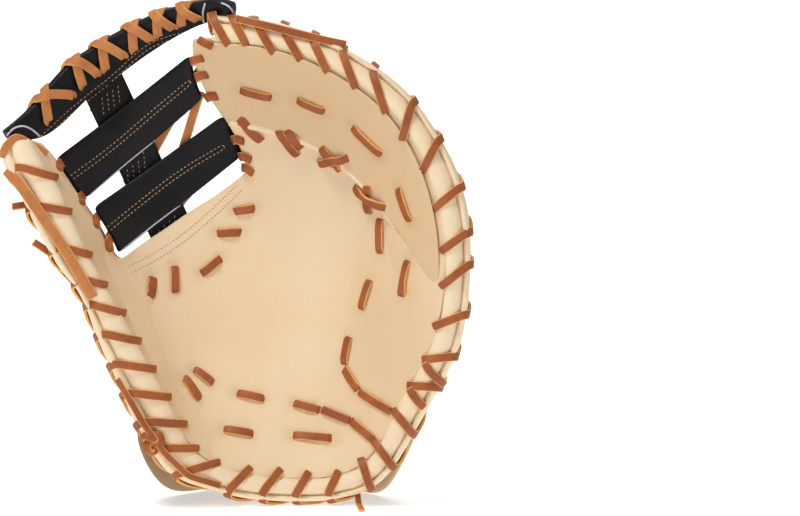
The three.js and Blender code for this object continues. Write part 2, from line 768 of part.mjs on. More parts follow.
// Top bar: one leather folded over, open at its lower edge
const lastBar = topBar.length - 1;
function barFrame(s) {
  const at = (v) =>
    point(
      along(topBar, "x", v) * faceWidth,
      along(topBar, "h", v) * faceHeight,
      along(topBar, "f", v) * cupDepth,
    );
  const way = at(s + 0.05).sub(at(s - 0.05)).normalize();
  const down = barDown.clone().addScaledVector(towards, -0.25);
  down.addScaledVector(way, -down.dot(way)).normalize();
  const face = down.clone().cross(way).normalize();
  if (face.z < 0) face.negate();
  return { origin: at(s), down, face, tall: along(topBar, "tall", s) * topBarTall };
}
const foldRadius = foldGap / 2 + webLeather;
function foldRing(s) {
  const { origin, down, face, tall } = barFrame(s);
  const spot = (q, f) => origin.clone().addScaledVector(down, q).addScaledVector(face, f);
  const ring = [];
  const arc = (radius, degrees) => {
    const a = THREE.MathUtils.degToRad(degrees);
    ring.push(spot(foldRadius - radius * Math.sin(a), radius * Math.cos(a)));
  };
  ring.push(spot(tall, foldRadius));
  [0, 50, 90, 130, 180].forEach((degrees) => arc(foldRadius, degrees));
  ring.push(spot(tall - foldStep, -foldRadius));
  ring.push(spot(tall - foldStep, -foldGap / 2));
  [180, 90, 0].forEach((degrees) => arc(foldGap / 2, degrees));
  ring.push(spot(tall, foldGap / 2));
  return ring;
}
const topBarWhole = solid(rings(steps(0, lastBar, 16).map(foldRing)));

// Two laces cross over the top bar and pass through it at each turn
const crossings = 6;
const crossFrom = 0.9;
const crossTo = 6.3;
function topLace(sign, lift, down, wide, thick) {
  const pitch = (crossTo - crossFrom) / crossings;
  const skin = foldRadius + laceThick / 2 + 2 * seat;
  const stops = [];
  const put = (s, share, q, f, facing) => {
    const frame = barFrame(s);
    const at = frame.origin.clone().addScaledVector(frame.down, share * frame.tall + q);
    const way = frame.down.clone().multiplyScalar(facing[0]).addScaledVector(frame.face, facing[1]);
    stops.push({ at: at.addScaledVector(frame.face, f), face: way.normalize() });
  };
  const order = steps(0, crossings - 1, crossings - 1);
  if (sign < 0) order.reverse();
  for (const i of order) {
    const middle = crossFrom + (i + 0.5) * pitch;
    const apart = pitch * (sign > 0 ? 0.3 : -0.38);
    put(middle - apart, down, 0, skin, [1, 0.5]);
    put(middle - apart * 0.7, down * 0.55, 0, skin + lift, [0, 1]);
    put(middle, 0, foldRadius * 0.3, skin * 0.9 + lift, [-0.4, 1]);
    put(middle + apart * 0.5, 0, -skin + foldRadius - lift, 0, [-1, 0]);
    put(middle + apart, 0, foldRadius, -skin, [0, -1]);
    put(middle + apart, down, 0, -skin, [1, -0.5]);
  }
  return strand(stops, wide, thick);
}
const crossLift = laceThick + seat + crossGap;
const underDown = 0.64;
const overDown = 0.42;
const cutWide = laceWide + 4 * seat;
const cutThick = laceThick + 4 * seat;
const barCut = topBarWhole
  .subtract(solid(topLace(1, 0, underDown, cutWide, cutThick)))
  .subtract(solid(topLace(-1, crossLift, overDown, cutWide, cutThick)));
const wholeBar = barCut.decompose().sort((a, b) => b.volume() - a.volume())[0];
addBlack("web_top_bar", geometryOf(wholeBar));
addLace("web_top_lace_under", topLace(1, 0, underDown, laceWide, laceThick));
addLace("web_top_lace_over", topLace(-1, crossLift, overDown, laceWide, laceThick));

export default group;
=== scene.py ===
import json
import math
import random

import bmesh
import bpy
import numpy as np
from mathutils import Matrix, Vector
from mathutils.bvhtree import BVHTree

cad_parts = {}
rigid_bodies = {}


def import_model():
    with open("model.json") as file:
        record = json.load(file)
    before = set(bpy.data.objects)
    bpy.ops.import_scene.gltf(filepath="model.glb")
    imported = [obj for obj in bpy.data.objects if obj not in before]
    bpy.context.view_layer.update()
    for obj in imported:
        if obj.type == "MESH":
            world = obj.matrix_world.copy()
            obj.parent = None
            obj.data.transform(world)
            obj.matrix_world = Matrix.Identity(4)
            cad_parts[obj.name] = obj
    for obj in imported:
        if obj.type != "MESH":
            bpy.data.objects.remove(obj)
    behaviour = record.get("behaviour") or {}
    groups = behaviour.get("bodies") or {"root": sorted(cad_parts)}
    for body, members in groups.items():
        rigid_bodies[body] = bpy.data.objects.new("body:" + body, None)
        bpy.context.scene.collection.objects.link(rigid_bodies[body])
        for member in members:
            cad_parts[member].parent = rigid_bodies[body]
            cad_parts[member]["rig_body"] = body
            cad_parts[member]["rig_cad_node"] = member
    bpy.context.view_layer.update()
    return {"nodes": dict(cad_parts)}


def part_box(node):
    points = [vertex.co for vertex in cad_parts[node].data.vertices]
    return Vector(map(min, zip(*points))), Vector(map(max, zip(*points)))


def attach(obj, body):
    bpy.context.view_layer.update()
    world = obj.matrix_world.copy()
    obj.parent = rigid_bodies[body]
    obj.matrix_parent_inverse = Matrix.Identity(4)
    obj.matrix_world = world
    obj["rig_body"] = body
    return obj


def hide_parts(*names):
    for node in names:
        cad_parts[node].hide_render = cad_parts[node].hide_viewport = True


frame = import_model()

# The studio: a pale seamless sweep under and behind the mitt, a large soft light on the left,
# a weaker one on the right, and a long lens square on to the leaning palm.
LEAN = math.radians(7)
RIGHT = Vector((1, 0, 0))
UP = Vector((0, math.sin(LEAN), math.cos(LEAN)))
FORWARD = Vector((0, -math.cos(LEAN), math.sin(LEAN)))
HEEL_LIFT = 0.003
CENTRE = Vector((0.001036, 0.000705, 0))
FACE_WIDTH = 0.280
FACE_HEIGHT = 0.296
CUP = 0.075


def face_point(x, h, f, floor=0.0):
    """A place by metres to the right, up the palm and towards the ball."""
    p = RIGHT * x + UP * h + FORWARD * f - CENTRE
    p.z = max(p.z + HEEL_LIFT, floor)
    return p


def seen_at(px, py, f=0.0):
    """A place by where it shows in the frame's pixels."""
    return face_point((px - 235) / 467 * FACE_WIDTH, (495.7 - py) / 493.7 * FACE_HEIGHT, f)


def clear_choice():
    if bpy.context.object and bpy.context.object.mode != "OBJECT":
        bpy.ops.object.mode_set(mode="OBJECT")
    bpy.ops.object.select_all(action="DESELECT")


aim = seen_at(400, 258, 0.035)
far = 5.0
bpy.ops.object.camera_add(location=aim + FORWARD * far)
camera = bpy.context.object
camera.data.sensor_width = 36
camera.data.lens = 36 * far / (800 / 467 * FACE_WIDTH)
camera.data.clip_end = 60
camera.rotation_euler = (-FORWARD).to_track_quat("-Z", "Y").to_euler()
bpy.context.scene.camera = camera

clear_choice()
bpy.ops.mesh.primitive_plane_add(size=40, location=(0, 0, 0))
floor = bpy.context.object
floor.name = "floor"


def softbox(place, size, watts, target):
    bpy.ops.object.light_add(type="AREA", location=place)
    light = bpy.context.object
    light.data.shape = "DISK"
    light.data.size = size
    light.data.energy = watts
    light.rotation_euler = (Vector(target) - Vector(place)).to_track_quat("-Z", "Y").to_euler()


softbox((-0.7, -0.85, 2.2), 0.8, 32, (0, 0, 0.12))
softbox((-1.3, -1.5, 0.35), 0.7, 4, (0, 0, 0.08))
softbox((1.6, -1.1, 0.9), 1.2, 4, (0, 0, 0.15))
softbox((0.2, 1.2, 1.6), 1.4, 9, (0, 0, 0.2))
softbox((0.3, 4.2, 2.6), 3.5, 120, (0.3, 4.6, 0))
world = bpy.data.worlds.new("studio")
world.use_nodes = True
world.node_tree.nodes["Background"].inputs["Color"].default_value = (1.0, 1.0, 1.0, 1)
world.node_tree.nodes["Background"].inputs["Strength"].default_value = 0.26
bpy.context.scene.world = world
bpy.context.scene.view_settings.view_transform = "Standard"
paper = bpy.data.materials.new("pale_sweep")
paper.use_nodes = True
paper.node_tree.nodes["Principled BSDF"].inputs["Base Color"].default_value = (0.86, 0.86, 0.86, 1)
paper.node_tree.nodes["Principled BSDF"].inputs["Roughness"].default_value = 0.9
paper.node_tree.nodes["Principled BSDF"].inputs["Emission Color"].default_value = (1, 1, 1, 1)
paper.node_tree.nodes["Principled BSDF"].inputs["Emission Strength"].default_value = 0.46
floor.data.materials.append(paper)


class Mark:
    """A value in a finish. Sums and products of values add Math nodes."""

    def __init__(self, finish, socket):
        self.finish = finish
        self.socket = socket

    def maths(self, operation, a, b):
        return self.finish.node("ShaderNodeMath", {"operation": operation}, {0: a, 1: b})

    def __add__(self, other):
        return self.maths("ADD", self, other)

    def __radd__(self, other):
        return self.maths("ADD", other, self)

    def __sub__(self, other):
        return self.maths("SUBTRACT", self, other)

    def __rsub__(self, other):
        return self.maths("SUBTRACT", other, self)

    def __mul__(self, other):
        return self.maths("MULTIPLY", self, other)

    def __rmul__(self, other):
        return self.maths("MULTIPLY", other, self)

    def __pow__(self, other):
        return self.maths("POWER", self, other)


class Finish:
    """A material and the one way its nodes are added."""

    def __init__(self, name):
        self.material = bpy.data.materials.new(name)
        self.material.use_nodes = True
        self.tree = self.material.node_tree
        self.shader = self.tree.nodes["Principled BSDF"]
        self.place = self.node("ShaderNodeTexCoord", out="Object")

    def node(self, kind, settings=None, inputs=None, out=0):
        made = self.tree.nodes.new(kind)
        for key, value in (settings or {}).items():
            if key == "stops":
                ramp = made.color_ramp
                while len(ramp.elements) < len(value):
                    ramp.elements.new(0.5)
                for element, (at, colour) in zip(ramp.elements, value):
                    element.position = at
                    element.color = (*colour, 1) if len(colour) == 3 else colour
            else:
                setattr(made, key, value)
        for key, value in (inputs or {}).items():
            if isinstance(value, Mark):
                self.tree.links.new(value.socket, made.inputs[key])
            else:
                made.inputs[key].default_value = value
        return Mark(self, made.outputs[out])

    def noise(self, scale, detail=3.0, roughness=0.5, place=None):
        values = {"Vector": place or self.place, "Scale": scale, "Detail": detail, "Roughness": roughness}
        return self.node("ShaderNodeTexNoise", None, values)

    def between(self, factor, a, b):
        settings = {"data_type": "RGBA"}
        values = {0: factor, 6: (*a, 1) if not isinstance(a, Mark) else a, 7: (*b, 1) if not isinstance(b, Mark) else b}
        return self.node("ShaderNodeMix", settings, values, out=2)

    def ramp(self, value, low, high):
        values = {0: value, 1: low, 2: high, 3: 0.0, 4: 1.0}
        return self.node("ShaderNodeMapRange", {"clamp": True}, values)

    def bump(self, height, strength, distance, normal=None):
        values = {"Height": height, "Strength": strength, "Distance": distance}
        if normal:
            values["Normal"] = normal
        return self.node("ShaderNodeBump", None, values)

    def surface(self, **sockets):
        for name, value in sockets.items():
            socket = self.shader.inputs[name.replace("_", " ")]
            if isinstance(value, Mark):
                self.tree.links.new(value.socket, socket)
            else:
                socket.default_value = value


# The hide: smooth cream leather with fine pores and faint clouding; its cut edges are a little redder.
# A mask deepens its colour towards a darker brown: oil stains round the lace holes, and painted
# shade along the folds, over the whole finger piece and on the palm's right side.
CREAM = (0.80, 0.60, 0.375)
CREAM_DEEP = (0.60, 0.38, 0.19)
CREAM_PALE = (0.88, 0.73, 0.52)


def cream_finish(name, pale=0.0):
    hide = Finish(name)
    cloud = hide.noise(14, 4, 0.55)
    pores = hide.node("ShaderNodeTexVoronoi", {"feature": "F1"}, {"Vector": hide.place, "Scale": 1150.0})
    wrinkle = hide.noise(160, 5, 0.6)
    fine = hide.noise(900, 2, 0.5)
    # The mask read here holds oil stains round the lace holes and painted shade on the folds, the finger piece and the
    # palm's right side.
    worn = hide.node("ShaderNodeAttribute", {"attribute_name": "hollow"}, None, out="Fac")
    base = hide.between(hide.ramp(cloud, 0.35, 0.7) * 0.35 + pale, CREAM, CREAM_PALE)
    base = hide.between(worn * 0.75, base, CREAM_DEEP)
    base = hide.between(hide.ramp(pores, 0.25, 0.75) * 0.10, base, CREAM_DEEP)
    rough = 0.44 + hide.ramp(cloud, 0.3, 0.7) * 0.10 + hide.ramp(fine, 0.3, 0.8) * 0.08
    grain = hide.bump(pores * 0.5 + fine * 0.5, 0.16, 0.0006)
    creased = hide.bump(wrinkle, 0.10, 0.0022, grain)
    hide.surface(Base_Color=base, Roughness=rough, Normal=creased)
    hide.surface(Specular_IOR_Level=0.42, Coat_Weight=0.06, Coat_Roughness=0.35)
    hide.surface(Subsurface_Weight=0.04, Subsurface_Radius=(0.004, 0.002, 0.001), Subsurface_Scale=1.0)
    return hide.material


cream = cream_finish("cream_hide")
cream_rim = cream_finish("cream_rim_hide", 0.45)

STATION_NAMES = ("in_x", "in_h", "in_f", "rim_x", "rim_h", "rim_f", "out_x", "out_h", "sag", "curl")
STATIONS = [
    (-0.409, 0.714, 0.69, -0.439, 0.725, 0.83, -0.497, 0.716, 0.2, 1.0),
    (-0.381, 0.680, 0.63, -0.418, 0.684, 0.83, -0.490, 0.672, 0.2, 1.0),
    (-0.347, 0.631, 0.53, -0.381, 0.627, 0.80, -0.460, 0.619, 0.2, 1.0),
    (-0.313, 0.581, 0.44, -0.347, 0.554, 0.77, -0.426, 0.550, 0.2, 1.0),
    (-0.281, 0.534, 0.36, -0.310, 0.477, 0.75, -0.381, 0.473, 0.3, 1.1),
    (-0.253, 0.486, 0.29, -0.274, 0.415, 0.72, -0.328, 0.404, 0.4, 1.2),
    (-0.229, 0.494, 0.23, -0.238, 0.352, 0.69, -0.293, 0.319, 0.6, 1.4),
    (-0.201, 0.512, 0.17, -0.195, 0.277, 0.65, -0.253, 0.234, 0.8, 1.6),
    (-0.173, 0.530, 0.13, -0.148, 0.194, 0.61, -0.206, 0.137, 0.9, 1.8),
    (-0.146, 0.548, 0.11, -0.092, 0.093, 0.55, -0.139, 0.046, 1.0, 1.9),
    (-0.116, 0.569, 0.09, -0.011, 0.050, 0.47, -0.028, 0.007, 1.0, 2.0),
    (-0.084, 0.589, 0.08, 0.092, 0.034, 0.41, 0.096, -0.005, 1.0, 2.0),
    (-0.051, 0.609, 0.09, 0.203, 0.034, 0.41, 0.225, -0.001, 1.0, 2.0),
    (-0.024, 0.627, 0.12, 0.289, 0.072, 0.48, 0.323, 0.040, 1.0, 1.9),
    (0.002, 0.644, 0.16, 0.362, 0.198, 0.64, 0.418, 0.186, 1.1, 1.8),
    (0.019, 0.660, 0.19, 0.428, 0.319, 0.80, 0.482, 0.311, 1.1, 1.8),
    (0.017, 0.680, 0.23, 0.450, 0.453, 0.91, 0.503, 0.449, 1.0, 1.8),
    (0.004, 0.712, 0.27, 0.439, 0.569, 0.96, 0.495, 0.587, 0.9, 1.8),
    (-0.017, 0.751, 0.36, 0.400, 0.684, 0.97, 0.450, 0.704, 0.8, 1.7),
    (-0.045, 0.789, 0.45, 0.328, 0.785, 0.96, 0.366, 0.808, 0.7, 1.6),
    (-0.069, 0.826, 0.53, 0.225, 0.854, 0.92, 0.246, 0.887, 0.5, 1.5),
    (-0.081, 0.858, 0.60, 0.118, 0.899, 0.88, 0.135, 0.935, 0.4, 1.4),
    (-0.090, 0.895, 0.65, 0.021, 0.915, 0.83, 0.017, 0.962, 0.3, 1.2),
    (-0.090, 0.923, 0.69, -0.043, 0.919, 0.77, -0.058, 0.974, 0.2, 1.0),
]
LAST_STATION = len(STATIONS) - 1


def smooth_run(values, t):
    """A smooth value between the rows of a list."""
    last = len(values) - 1
    i = min(max(int(math.floor(t)), 0), last - 1)
    s = min(max(t, 0), last) - i
    a, b, c, d = values[max(i - 1, 0)], values[i], values[i + 1], values[min(i + 2, last)]
    return b + ((c - a) * s + (2 * a - 5 * b + 4 * c - d) * s * s + (3 * b - a - 3 * c + d) * s * s * s) * 0.5


def station(name, u):
    column = STATION_NAMES.index(name)
    return smooth_run([row[column] for row in STATIONS], u)


def web_edge(u):
    return Vector((station("in_x", u) * FACE_WIDTH, station("in_h", u) * FACE_HEIGHT, station("in_f", u) * CUP))


def groove(u):
    return Vector((station("rim_x", u) * FACE_WIDTH, station("rim_h", u) * FACE_HEIGHT, station("rim_f", u) * CUP))


def outline(u):
    return Vector((station("out_x", u) * FACE_WIDTH, station("out_h", u) * FACE_HEIGHT, station("rim_f", u) * CUP))


def palm_face(u, t):
    a, b = web_edge(u), groove(u)
    dip = 0.009 * station("sag", u) * math.sin(math.pi * t)
    p = a.lerp(b, t)
    p.z = a.z + (b.z - a.z) * t ** station("curl", u) - dip
    return p


def stood(p, floor=0.0):
    return face_point(p.x, p.y, p.z, floor)


def dressed(node, name, levels, finish, fatten=0.0, quads=True):
    """A smooth copy of a solid, merged, turned to quads and subdivided, that stands for it."""
    clear_choice()
    source = frame["nodes"][node]
    piece = source.copy()
    piece.data = source.data.copy()
    piece.parent = None
    piece.name = name
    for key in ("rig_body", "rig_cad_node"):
        if key in piece:
            del piece[key]
    bpy.context.scene.collection.objects.link(piece)
    piece.select_set(True)
    bpy.context.view_layer.objects.active = piece
    bpy.ops.object.mode_set(mode="EDIT")
    bpy.ops.mesh.select_all(action="SELECT")
    bpy.ops.mesh.remove_doubles(threshold=0.00002)
    if quads:
        bpy.ops.mesh.tris_convert_to_quads(face_threshold=math.radians(60), shape_threshold=math.radians(60))
    if fatten:
        bpy.ops.transform.shrink_fatten(value=fatten)
    bpy.ops.object.mode_set(mode="OBJECT")
    if levels:
        rounder = piece.modifiers.new("rounder", "SUBSURF")
        rounder.levels = rounder.render_levels = levels
        bpy.ops.object.modifier_apply(modifier="rounder")
    piece.data.materials.clear()
    piece.data.materials.append(finish)
    bpy.ops.object.shade_smooth()
    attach(piece, "root")
    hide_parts(node)
    return piece


def surface_of(*pieces):
    """What lies on these pieces is found on this."""
    points, faces = [], []
    for piece in pieces:
        start = len(points)
        points += [v.co.copy() for v in piece.data.vertices]
        faces += [[start + i for i in p.vertices] for p in piece.data.polygons]
    return BVHTree.FromPolygons(points, faces)


def places_of(mesh, what="co"):
    """Every vertex's place, or its way out, as rows of numbers."""
    flat = np.empty(len(mesh.vertices) * 3)
    if what == "co":
        mesh.vertices.foreach_get("co", flat)
    else:
        mesh.vertex_normals.foreach_get("vector", flat)
    return flat.reshape(-1, 3)


def nearness(rows, spots, reach):
    """How near each row is to the nearest of some spots: 1 on it and 0 well away."""
    near = np.full(len(rows), 1e9)
    for spot in spots:
        near = np.minimum(near, ((rows - np.array(spot)) ** 2).sum(axis=1))
    return np.exp(-near / reach ** 2)


def press(piece, share, deep, darkening):
    """Pushes a piece in by a share of a depth at each vertex, and adds to its mask of stains and painted shade there.
    """
    mesh = piece.data
    rows = places_of(mesh) - places_of(mesh, "normal") * (share * deep)[:, None]
    mesh.vertices.foreach_set("co", rows.ravel())
    marks = mesh.attributes.get("hollow") or mesh.attributes.new("hollow", "FLOAT", "POINT")
    old = np.empty(len(rows))
    marks.data.foreach_get("value", old)
    marks.data.foreach_set("value", np.minimum(1, old + share * darkening))
    mesh.update()


def hollow_by(piece, spots, reach, deep, darkening):
    """Presses soft hollows round spots into a piece and darkens them through the mask of stains and painted shade."""
    press(piece, nearness(places_of(piece.data), spots, reach), deep, darkening)


# The palm: one large piece of cream hide, moulded to a deep pocket. Soft folds run down from the
# end of the finger seam and beside the thumb, and each lace hole is pulled in a little.
palm = dressed("palm", "palm_hide", 3, cream)
finger_piece = dressed("finger_piece", "finger_hide", 3, cream)
palm_front = surface_of(palm, finger_piece)


def on_front(px, py, tree=None):
    """The place on the leather's front that shows at a pixel, and the way out of it."""
    place, normal, _, _ = (tree or palm_front).ray_cast(seen_at(px, py, 0.2), -FORWARD)
    if place is None:
        return seen_at(px, py, 0.03), FORWARD.copy()
    return place, normal if normal.dot(FORWARD) > 0 else -normal


PALM_LACES = [
    ((240, 90), (272, 98)), ((297, 100), (325, 112)), ((352, 127), (382, 156)), ((398, 188), (410, 222)),
    ((380, 218), (380, 254)), ((408, 260), (401, 297)), ((370, 280), (361, 310)), ((349, 337), (344, 365)),
    ((344, 368), (358, 390)), ((358, 391), (392, 412)), ((293, 404), (320, 411)), ((321, 410), (350, 421)),
    ((350, 420), (374, 440)), ((292, 436), (332, 439)), ((223, 430), (253, 435)), ((236, 394), (264, 400)),
    ((193, 370), (212, 384)), ((183, 378), (199, 401)), ((200, 274), (220, 258)), ((173, 266), (174, 293)),
    ((151, 277), (149, 297)), ((216, 233), (240, 232)), ((233, 211), (254, 208)),
]
PALM_FOLDS = [
    [(378, 213), (374, 250), (372, 290), (380, 335), (392, 375)],
    [(118, 262), (135, 300), (152, 345), (172, 395), (200, 440)],
    [(385, 300), (372, 345), (350, 395), (318, 430)],
]


def spots_on(ends, tree):
    return [on_front(x, y, tree)[0] for x, y in ends]


SEAM = [18.2, 18.1, 17.85, 17.2, 16.2, 15.5]


def seam_place(t):
    return palm_face(smooth_run(SEAM, t * 5), t)


def smooth_share(low, high, value):
    s = np.clip((value - low) / (high - low), 0, 1)
    return s * s * (3 - 2 * s)


# Past the end of the seam the palm rises to the finger piece, so that the two run on as one.
shares = [0.60 + 0.40 * i / 30 for i in range(31)]
line = np.array([stood(seam_place(t)) for t in shares])
rows = places_of(palm.data)
apart = ((rows[:, None, :] - line[None, :, :]) ** 2).sum(axis=2)
nearest = apart.argmin(axis=1)
rise = np.exp(-apart.min(axis=1) / 0.018 ** 2) * smooth_share(0.62, 0.80, np.array(shares)[nearest])
rise *= (places_of(palm.data, "normal") @ np.array(FORWARD) > 0.2)
rows += np.outer(rise * 0.0030, np.array(FORWARD))
palm.data.vertices.foreach_set("co", rows.ravel())
palm.data.update()
palm_tree = surface_of(palm)
holes = spots_on([end for pair in PALM_LACES for end in pair], palm_tree)
hollow_by(palm, holes, 0.0042, 0.0013, 0.55)
# The folds are pressed in, and painted shade darkens the colour along them.
for route in PALM_FOLDS:
    line = []
    for (ax, ay), (bx, by) in zip(route, route[1:]):
        line += [(ax + (bx - ax) * i / 8, ay + (by - ay) * i / 8) for i in range(8)]
    hollow_by(palm, spots_on(line, palm_tree), 0.019, 0.0022, 0.16)
hollow_by(finger_piece, [on_front(x, y)[0] for pair in PALM_LACES[:4] for x, y in pair], 0.0042, 0.0006, 0.5)
# Painted shade: the whole finger piece is darkened, as its face turns down away from the light.
press(finger_piece, np.ones(len(finger_piece.data.vertices)), 0.0, 0.78)
# Painted shade: the palm's colour darkens towards its right side, under the finger piece and the rim.
press(palm, smooth_share(0.03, 0.11, places_of(palm.data)[:, 0]), 0.0, 0.30)
palm_front = surface_of(palm, finger_piece)


# The finger piece's lower edge is turned under to a rounded lip that stands over the palm.
def piping(name, places, radius, finish, sides=3):
    """A round roll of leather along a line, closed at both ends."""
    clear_choice()
    path = bpy.data.curves.new(name, "CURVE")
    path.dimensions = "3D"
    path.bevel_depth = radius
    path.bevel_resolution = sides
    path.resolution_u = 4
    path.use_fill_caps = True
    run = path.splines.new("NURBS")
    run.points.add(len(places) - 1)
    for knot, place in zip(run.points, places):
        knot.co = (*place, 1)
    run.use_endpoint_u = True
    run.order_u = 4
    piece = bpy.data.objects.new(name, path)
    bpy.context.scene.collection.objects.link(piece)
    piece.select_set(True)
    bpy.context.view_layer.objects.active = piece
    bpy.ops.object.convert(target="MESH")
    piece = bpy.context.object
    piece.data.materials.append(finish)
    bpy.ops.object.shade_smooth()
    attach(piece, "root")
    return piece


lip_line = []
for i in range(41):
    t = 0.02 + 0.74 * i / 40
    p = palm_face(smooth_run(SEAM, t * 5) - 0.02, t)
    p.z += 0.0022 - 0.0030 * max(0, (t - 0.60) / 0.16) ** 2
    lip_line.append(stood(p))
seam_lip = piping("finger_seam_lip", lip_line, 0.0021, cream_rim)

# The back: one moulded shell of the same hide, over the back of the hand, with the strap under the
# wrist hole and the rolled binding round the hole.
back_shell = dressed("back_shell", "back_hide", 3, cream)
wrist_strap = dressed("wrist_strap", "strap_hide", 2, cream)
wrist_binding = dressed("wrist_binding", "wrist_hole_binding", 2, cream_rim, 0.0003)
low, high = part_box("wrist_binding")
hole_middle, hole_half = (low + high) / 2, (high - low) / 2
facing = wrist_binding.copy()
facing.data = wrist_binding.data.copy()
facing.name = "wrist_hole_facing"
for key in [k for k in facing.keys() if k.startswith("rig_")]:
    del facing[key]
bpy.context.scene.collection.objects.link(facing)
rows = places_of(facing.data)
rows[:, 0] = hole_middle.x + (rows[:, 0] - hole_middle.x) * (1 + 0.0042 / hole_half.x)
rows[:, 2] = hole_middle.z + (rows[:, 2] - hole_middle.z) * (1 + 0.0042 / hole_half.z)
rows += np.array(FORWARD) * 0.0014
facing.data.vertices.foreach_set("co", rows.ravel())
facing.data.update()
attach(facing, "root")

# The rim: two stuffed rolls of hide side by side. The inner one meets the palm in a fine seam, the
# outer one meets the back, and each turn of the lace pinches both a little.


def rim_frame(u):
    """The groove, the way out across the rim, and where its rolls start and how wide they are."""
    origin = groove(u)
    out = outline(u) - origin
    wide = out.length
    out.normalize()
    e = 0.02
    du = palm_face(u + e, 1) - palm_face(u - e, 1)
    dt = palm_face(u, 1) - palm_face(u, 1 - e)
    slope = abs(du.cross(dt).normalized().dot(out))
    slot = 0.003 * slope + 0.00015
    start = slot + 0.0042
    return origin, out, start, max(wide - start, 0.008)


def roll_point(u, roll, degrees, grow=0.0):
    """A place on a roll's skin, or a little outside it."""
    origin, out, start, rolls = rim_frame(u)
    low, high, deep, back = (
        (-0.0014, start + 0.58 * rolls, 0.0067, 0.0042),
        (start + 0.46 * rolls, start + 1.02 * rolls, 0.0066, 0.0056),
    )[roll]
    a = math.radians(degrees)
    o = (low + high) / 2 + ((high - low) / 2 + grow) * math.cos(a)
    return origin + out * o + Vector((0, 0, (deep + grow) * math.sin(a) - back))


# Each turn of the rim's lace: where its hole shows beside the groove, and where it leaves the outline
THUMB_TURNS = [
    ((58, 178), (20, 167)), ((72, 212), (38, 206)), ((92, 255), (62, 247)), ((107, 285), (82, 279)),
    ((125, 313), (91, 304)), ((140, 341), (103, 333)), ((155, 369), (115, 363)), ((170, 397), (128, 392)),
    ((186, 424), (142, 421)), ((198, 448), (155, 448)), ((219, 462), (176, 474)), ((250, 468), (228, 491)),
    ((280, 470), (262, 493)), ((308, 473), (295, 496)), ((338, 472), (328, 494)), ((361, 459), (370, 487)),
]
FINGER_TURNS = [
    ((373, 440), (393, 467)), ((393, 410), (413, 434)), ((408, 385), (440, 387)), ((423, 359), (455, 356)),
    ((434, 326), (465, 314)), ((441, 286), (469, 264)), ((441, 251), (466, 233)), ((434, 209), (458, 189)),
    ((422, 172), (438, 141)), ((402, 140), (412, 104)), ((385, 113), (372, 71)), ((355, 88), (342, 52)),
    ((327, 72), (313, 41)), ((300, 60), (284, 31)), ((273, 53), (255, 21)), ((247, 46), (233, 19)),
    ((228, 45), (213, 18)),
]


def station_near(px, py, curve, low, high):
    best, found = 1e9, low
    for i in range(int((high - low) / 0.02) + 1):
        u = low + i * 0.02
        p = curve(u)
        gap = math.hypot(p.x / FACE_WIDTH * 467 + 235 - px, 495.7 - p.y / FACE_HEIGHT * 493.7 - py)
        if gap < best:
            best, found = gap, u
    return found


def turn_ends(turns, low, high):
    ends = []
    for inner, outer in turns:
        hole = station_near(*inner, groove, low, high)
        ends.append((hole, station_near(*outer, outline, max(low, hole - 1.2), min(high, hole + 1.2))))
    return ends


THUMB_ENDS = turn_ends(THUMB_TURNS, 0.2, 13.6)
FINGER_ENDS = turn_ends(FINGER_TURNS, 12.8, 22.8)
PINCHES = [(hole + (turn - hole) * share) for hole, turn in THUMB_ENDS + FINGER_ENDS for share in (0.3, 0.8)]


def steps(a, b, count):
    return [a + (b - a) * i / count for i in range(count + 1)]


def skin_tube(name, rings, around, place, finish):
    """A closed skin over rings of places, domed at both ends."""
    clear_choice()
    bpy.ops.mesh.primitive_grid_add(x_subdivisions=rings, y_subdivisions=around, size=2)
    piece = bpy.context.object
    piece.name = name
    for v in piece.data.vertices:
        v.co = place((v.co.x + 1) / 2, (v.co.y + 1) * 180)
    bpy.ops.object.mode_set(mode="EDIT")
    bpy.ops.mesh.select_all(action="SELECT")
    bpy.ops.mesh.remove_doubles(threshold=0.00001)
    bpy.ops.mesh.select_all(action="DESELECT")
    bpy.ops.mesh.select_non_manifold()
    bpy.ops.mesh.fill()
    bpy.ops.mesh.select_all(action="SELECT")
    bpy.ops.mesh.normals_make_consistent(inside=False)
    bpy.ops.object.mode_set(mode="OBJECT")
    piece.data.materials.append(finish)
    bpy.ops.object.shade_smooth()
    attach(piece, "root")
    return piece


def rim_roll(name, roll, node):
    low, high = 0.06, LAST_STATION - 0.06

    def place(share, degrees):
        u = low + (high - low) * share
        mid = roll_point(u, roll, 90).lerp(roll_point(u, roll, -90), 0.5)
        end = min(u - low, high - u) / 0.45
        full = math.sqrt(max(0.02, 1 - max(0, 1 - end) ** 2))
        pinch = sum(math.exp(-((u - p) / 0.16) ** 2) for p in PINCHES if abs(u - p) < 0.6)
        size = full * (1 + 0.02 - 0.06 * min(1, pinch))
        return stood(mid + (roll_point(u, roll, degrees) - mid) * size, 0.0012)

    piece = skin_tube(name, 420, 24, place, cream_rim)
    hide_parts(node)
    return piece


palm_roll = rim_roll("palm_side_roll", 0, "palm_rim_roll")
back_roll = rim_roll("back_side_roll", 1, "back_rim_roll")
web_binding = dressed("web_side_binding", "web_side_roll", 2, cream_rim, 0.0004)

# The web: smooth black hide with a soft sheen. Each bar is a wide strip folded over on itself, and
# the cut edges show as thin lines of undyed pale leather.


def black_finish():
    hide = Finish("black_hide")
    cloud = hide.noise(22, 3, 0.5)
    pores = hide.node("ShaderNodeTexVoronoi", {"feature": "F1"}, {"Vector": hide.place, "Scale": 1300.0})
    wrinkle = hide.noise(210, 5, 0.62)
    base = hide.between(hide.ramp(cloud, 0.3, 0.75), (0.0045, 0.004, 0.005), (0.010, 0.009, 0.011))
    rough = 0.40 + hide.ramp(wrinkle, 0.3, 0.8) * 0.16
    grain = hide.bump(pores, 0.12, 0.0005)
    creased = hide.bump(wrinkle, 0.10, 0.002, grain)
    hide.surface(Base_Color=base, Roughness=rough, Normal=creased)
    hide.surface(Specular_IOR_Level=0.18)
    return hide.material


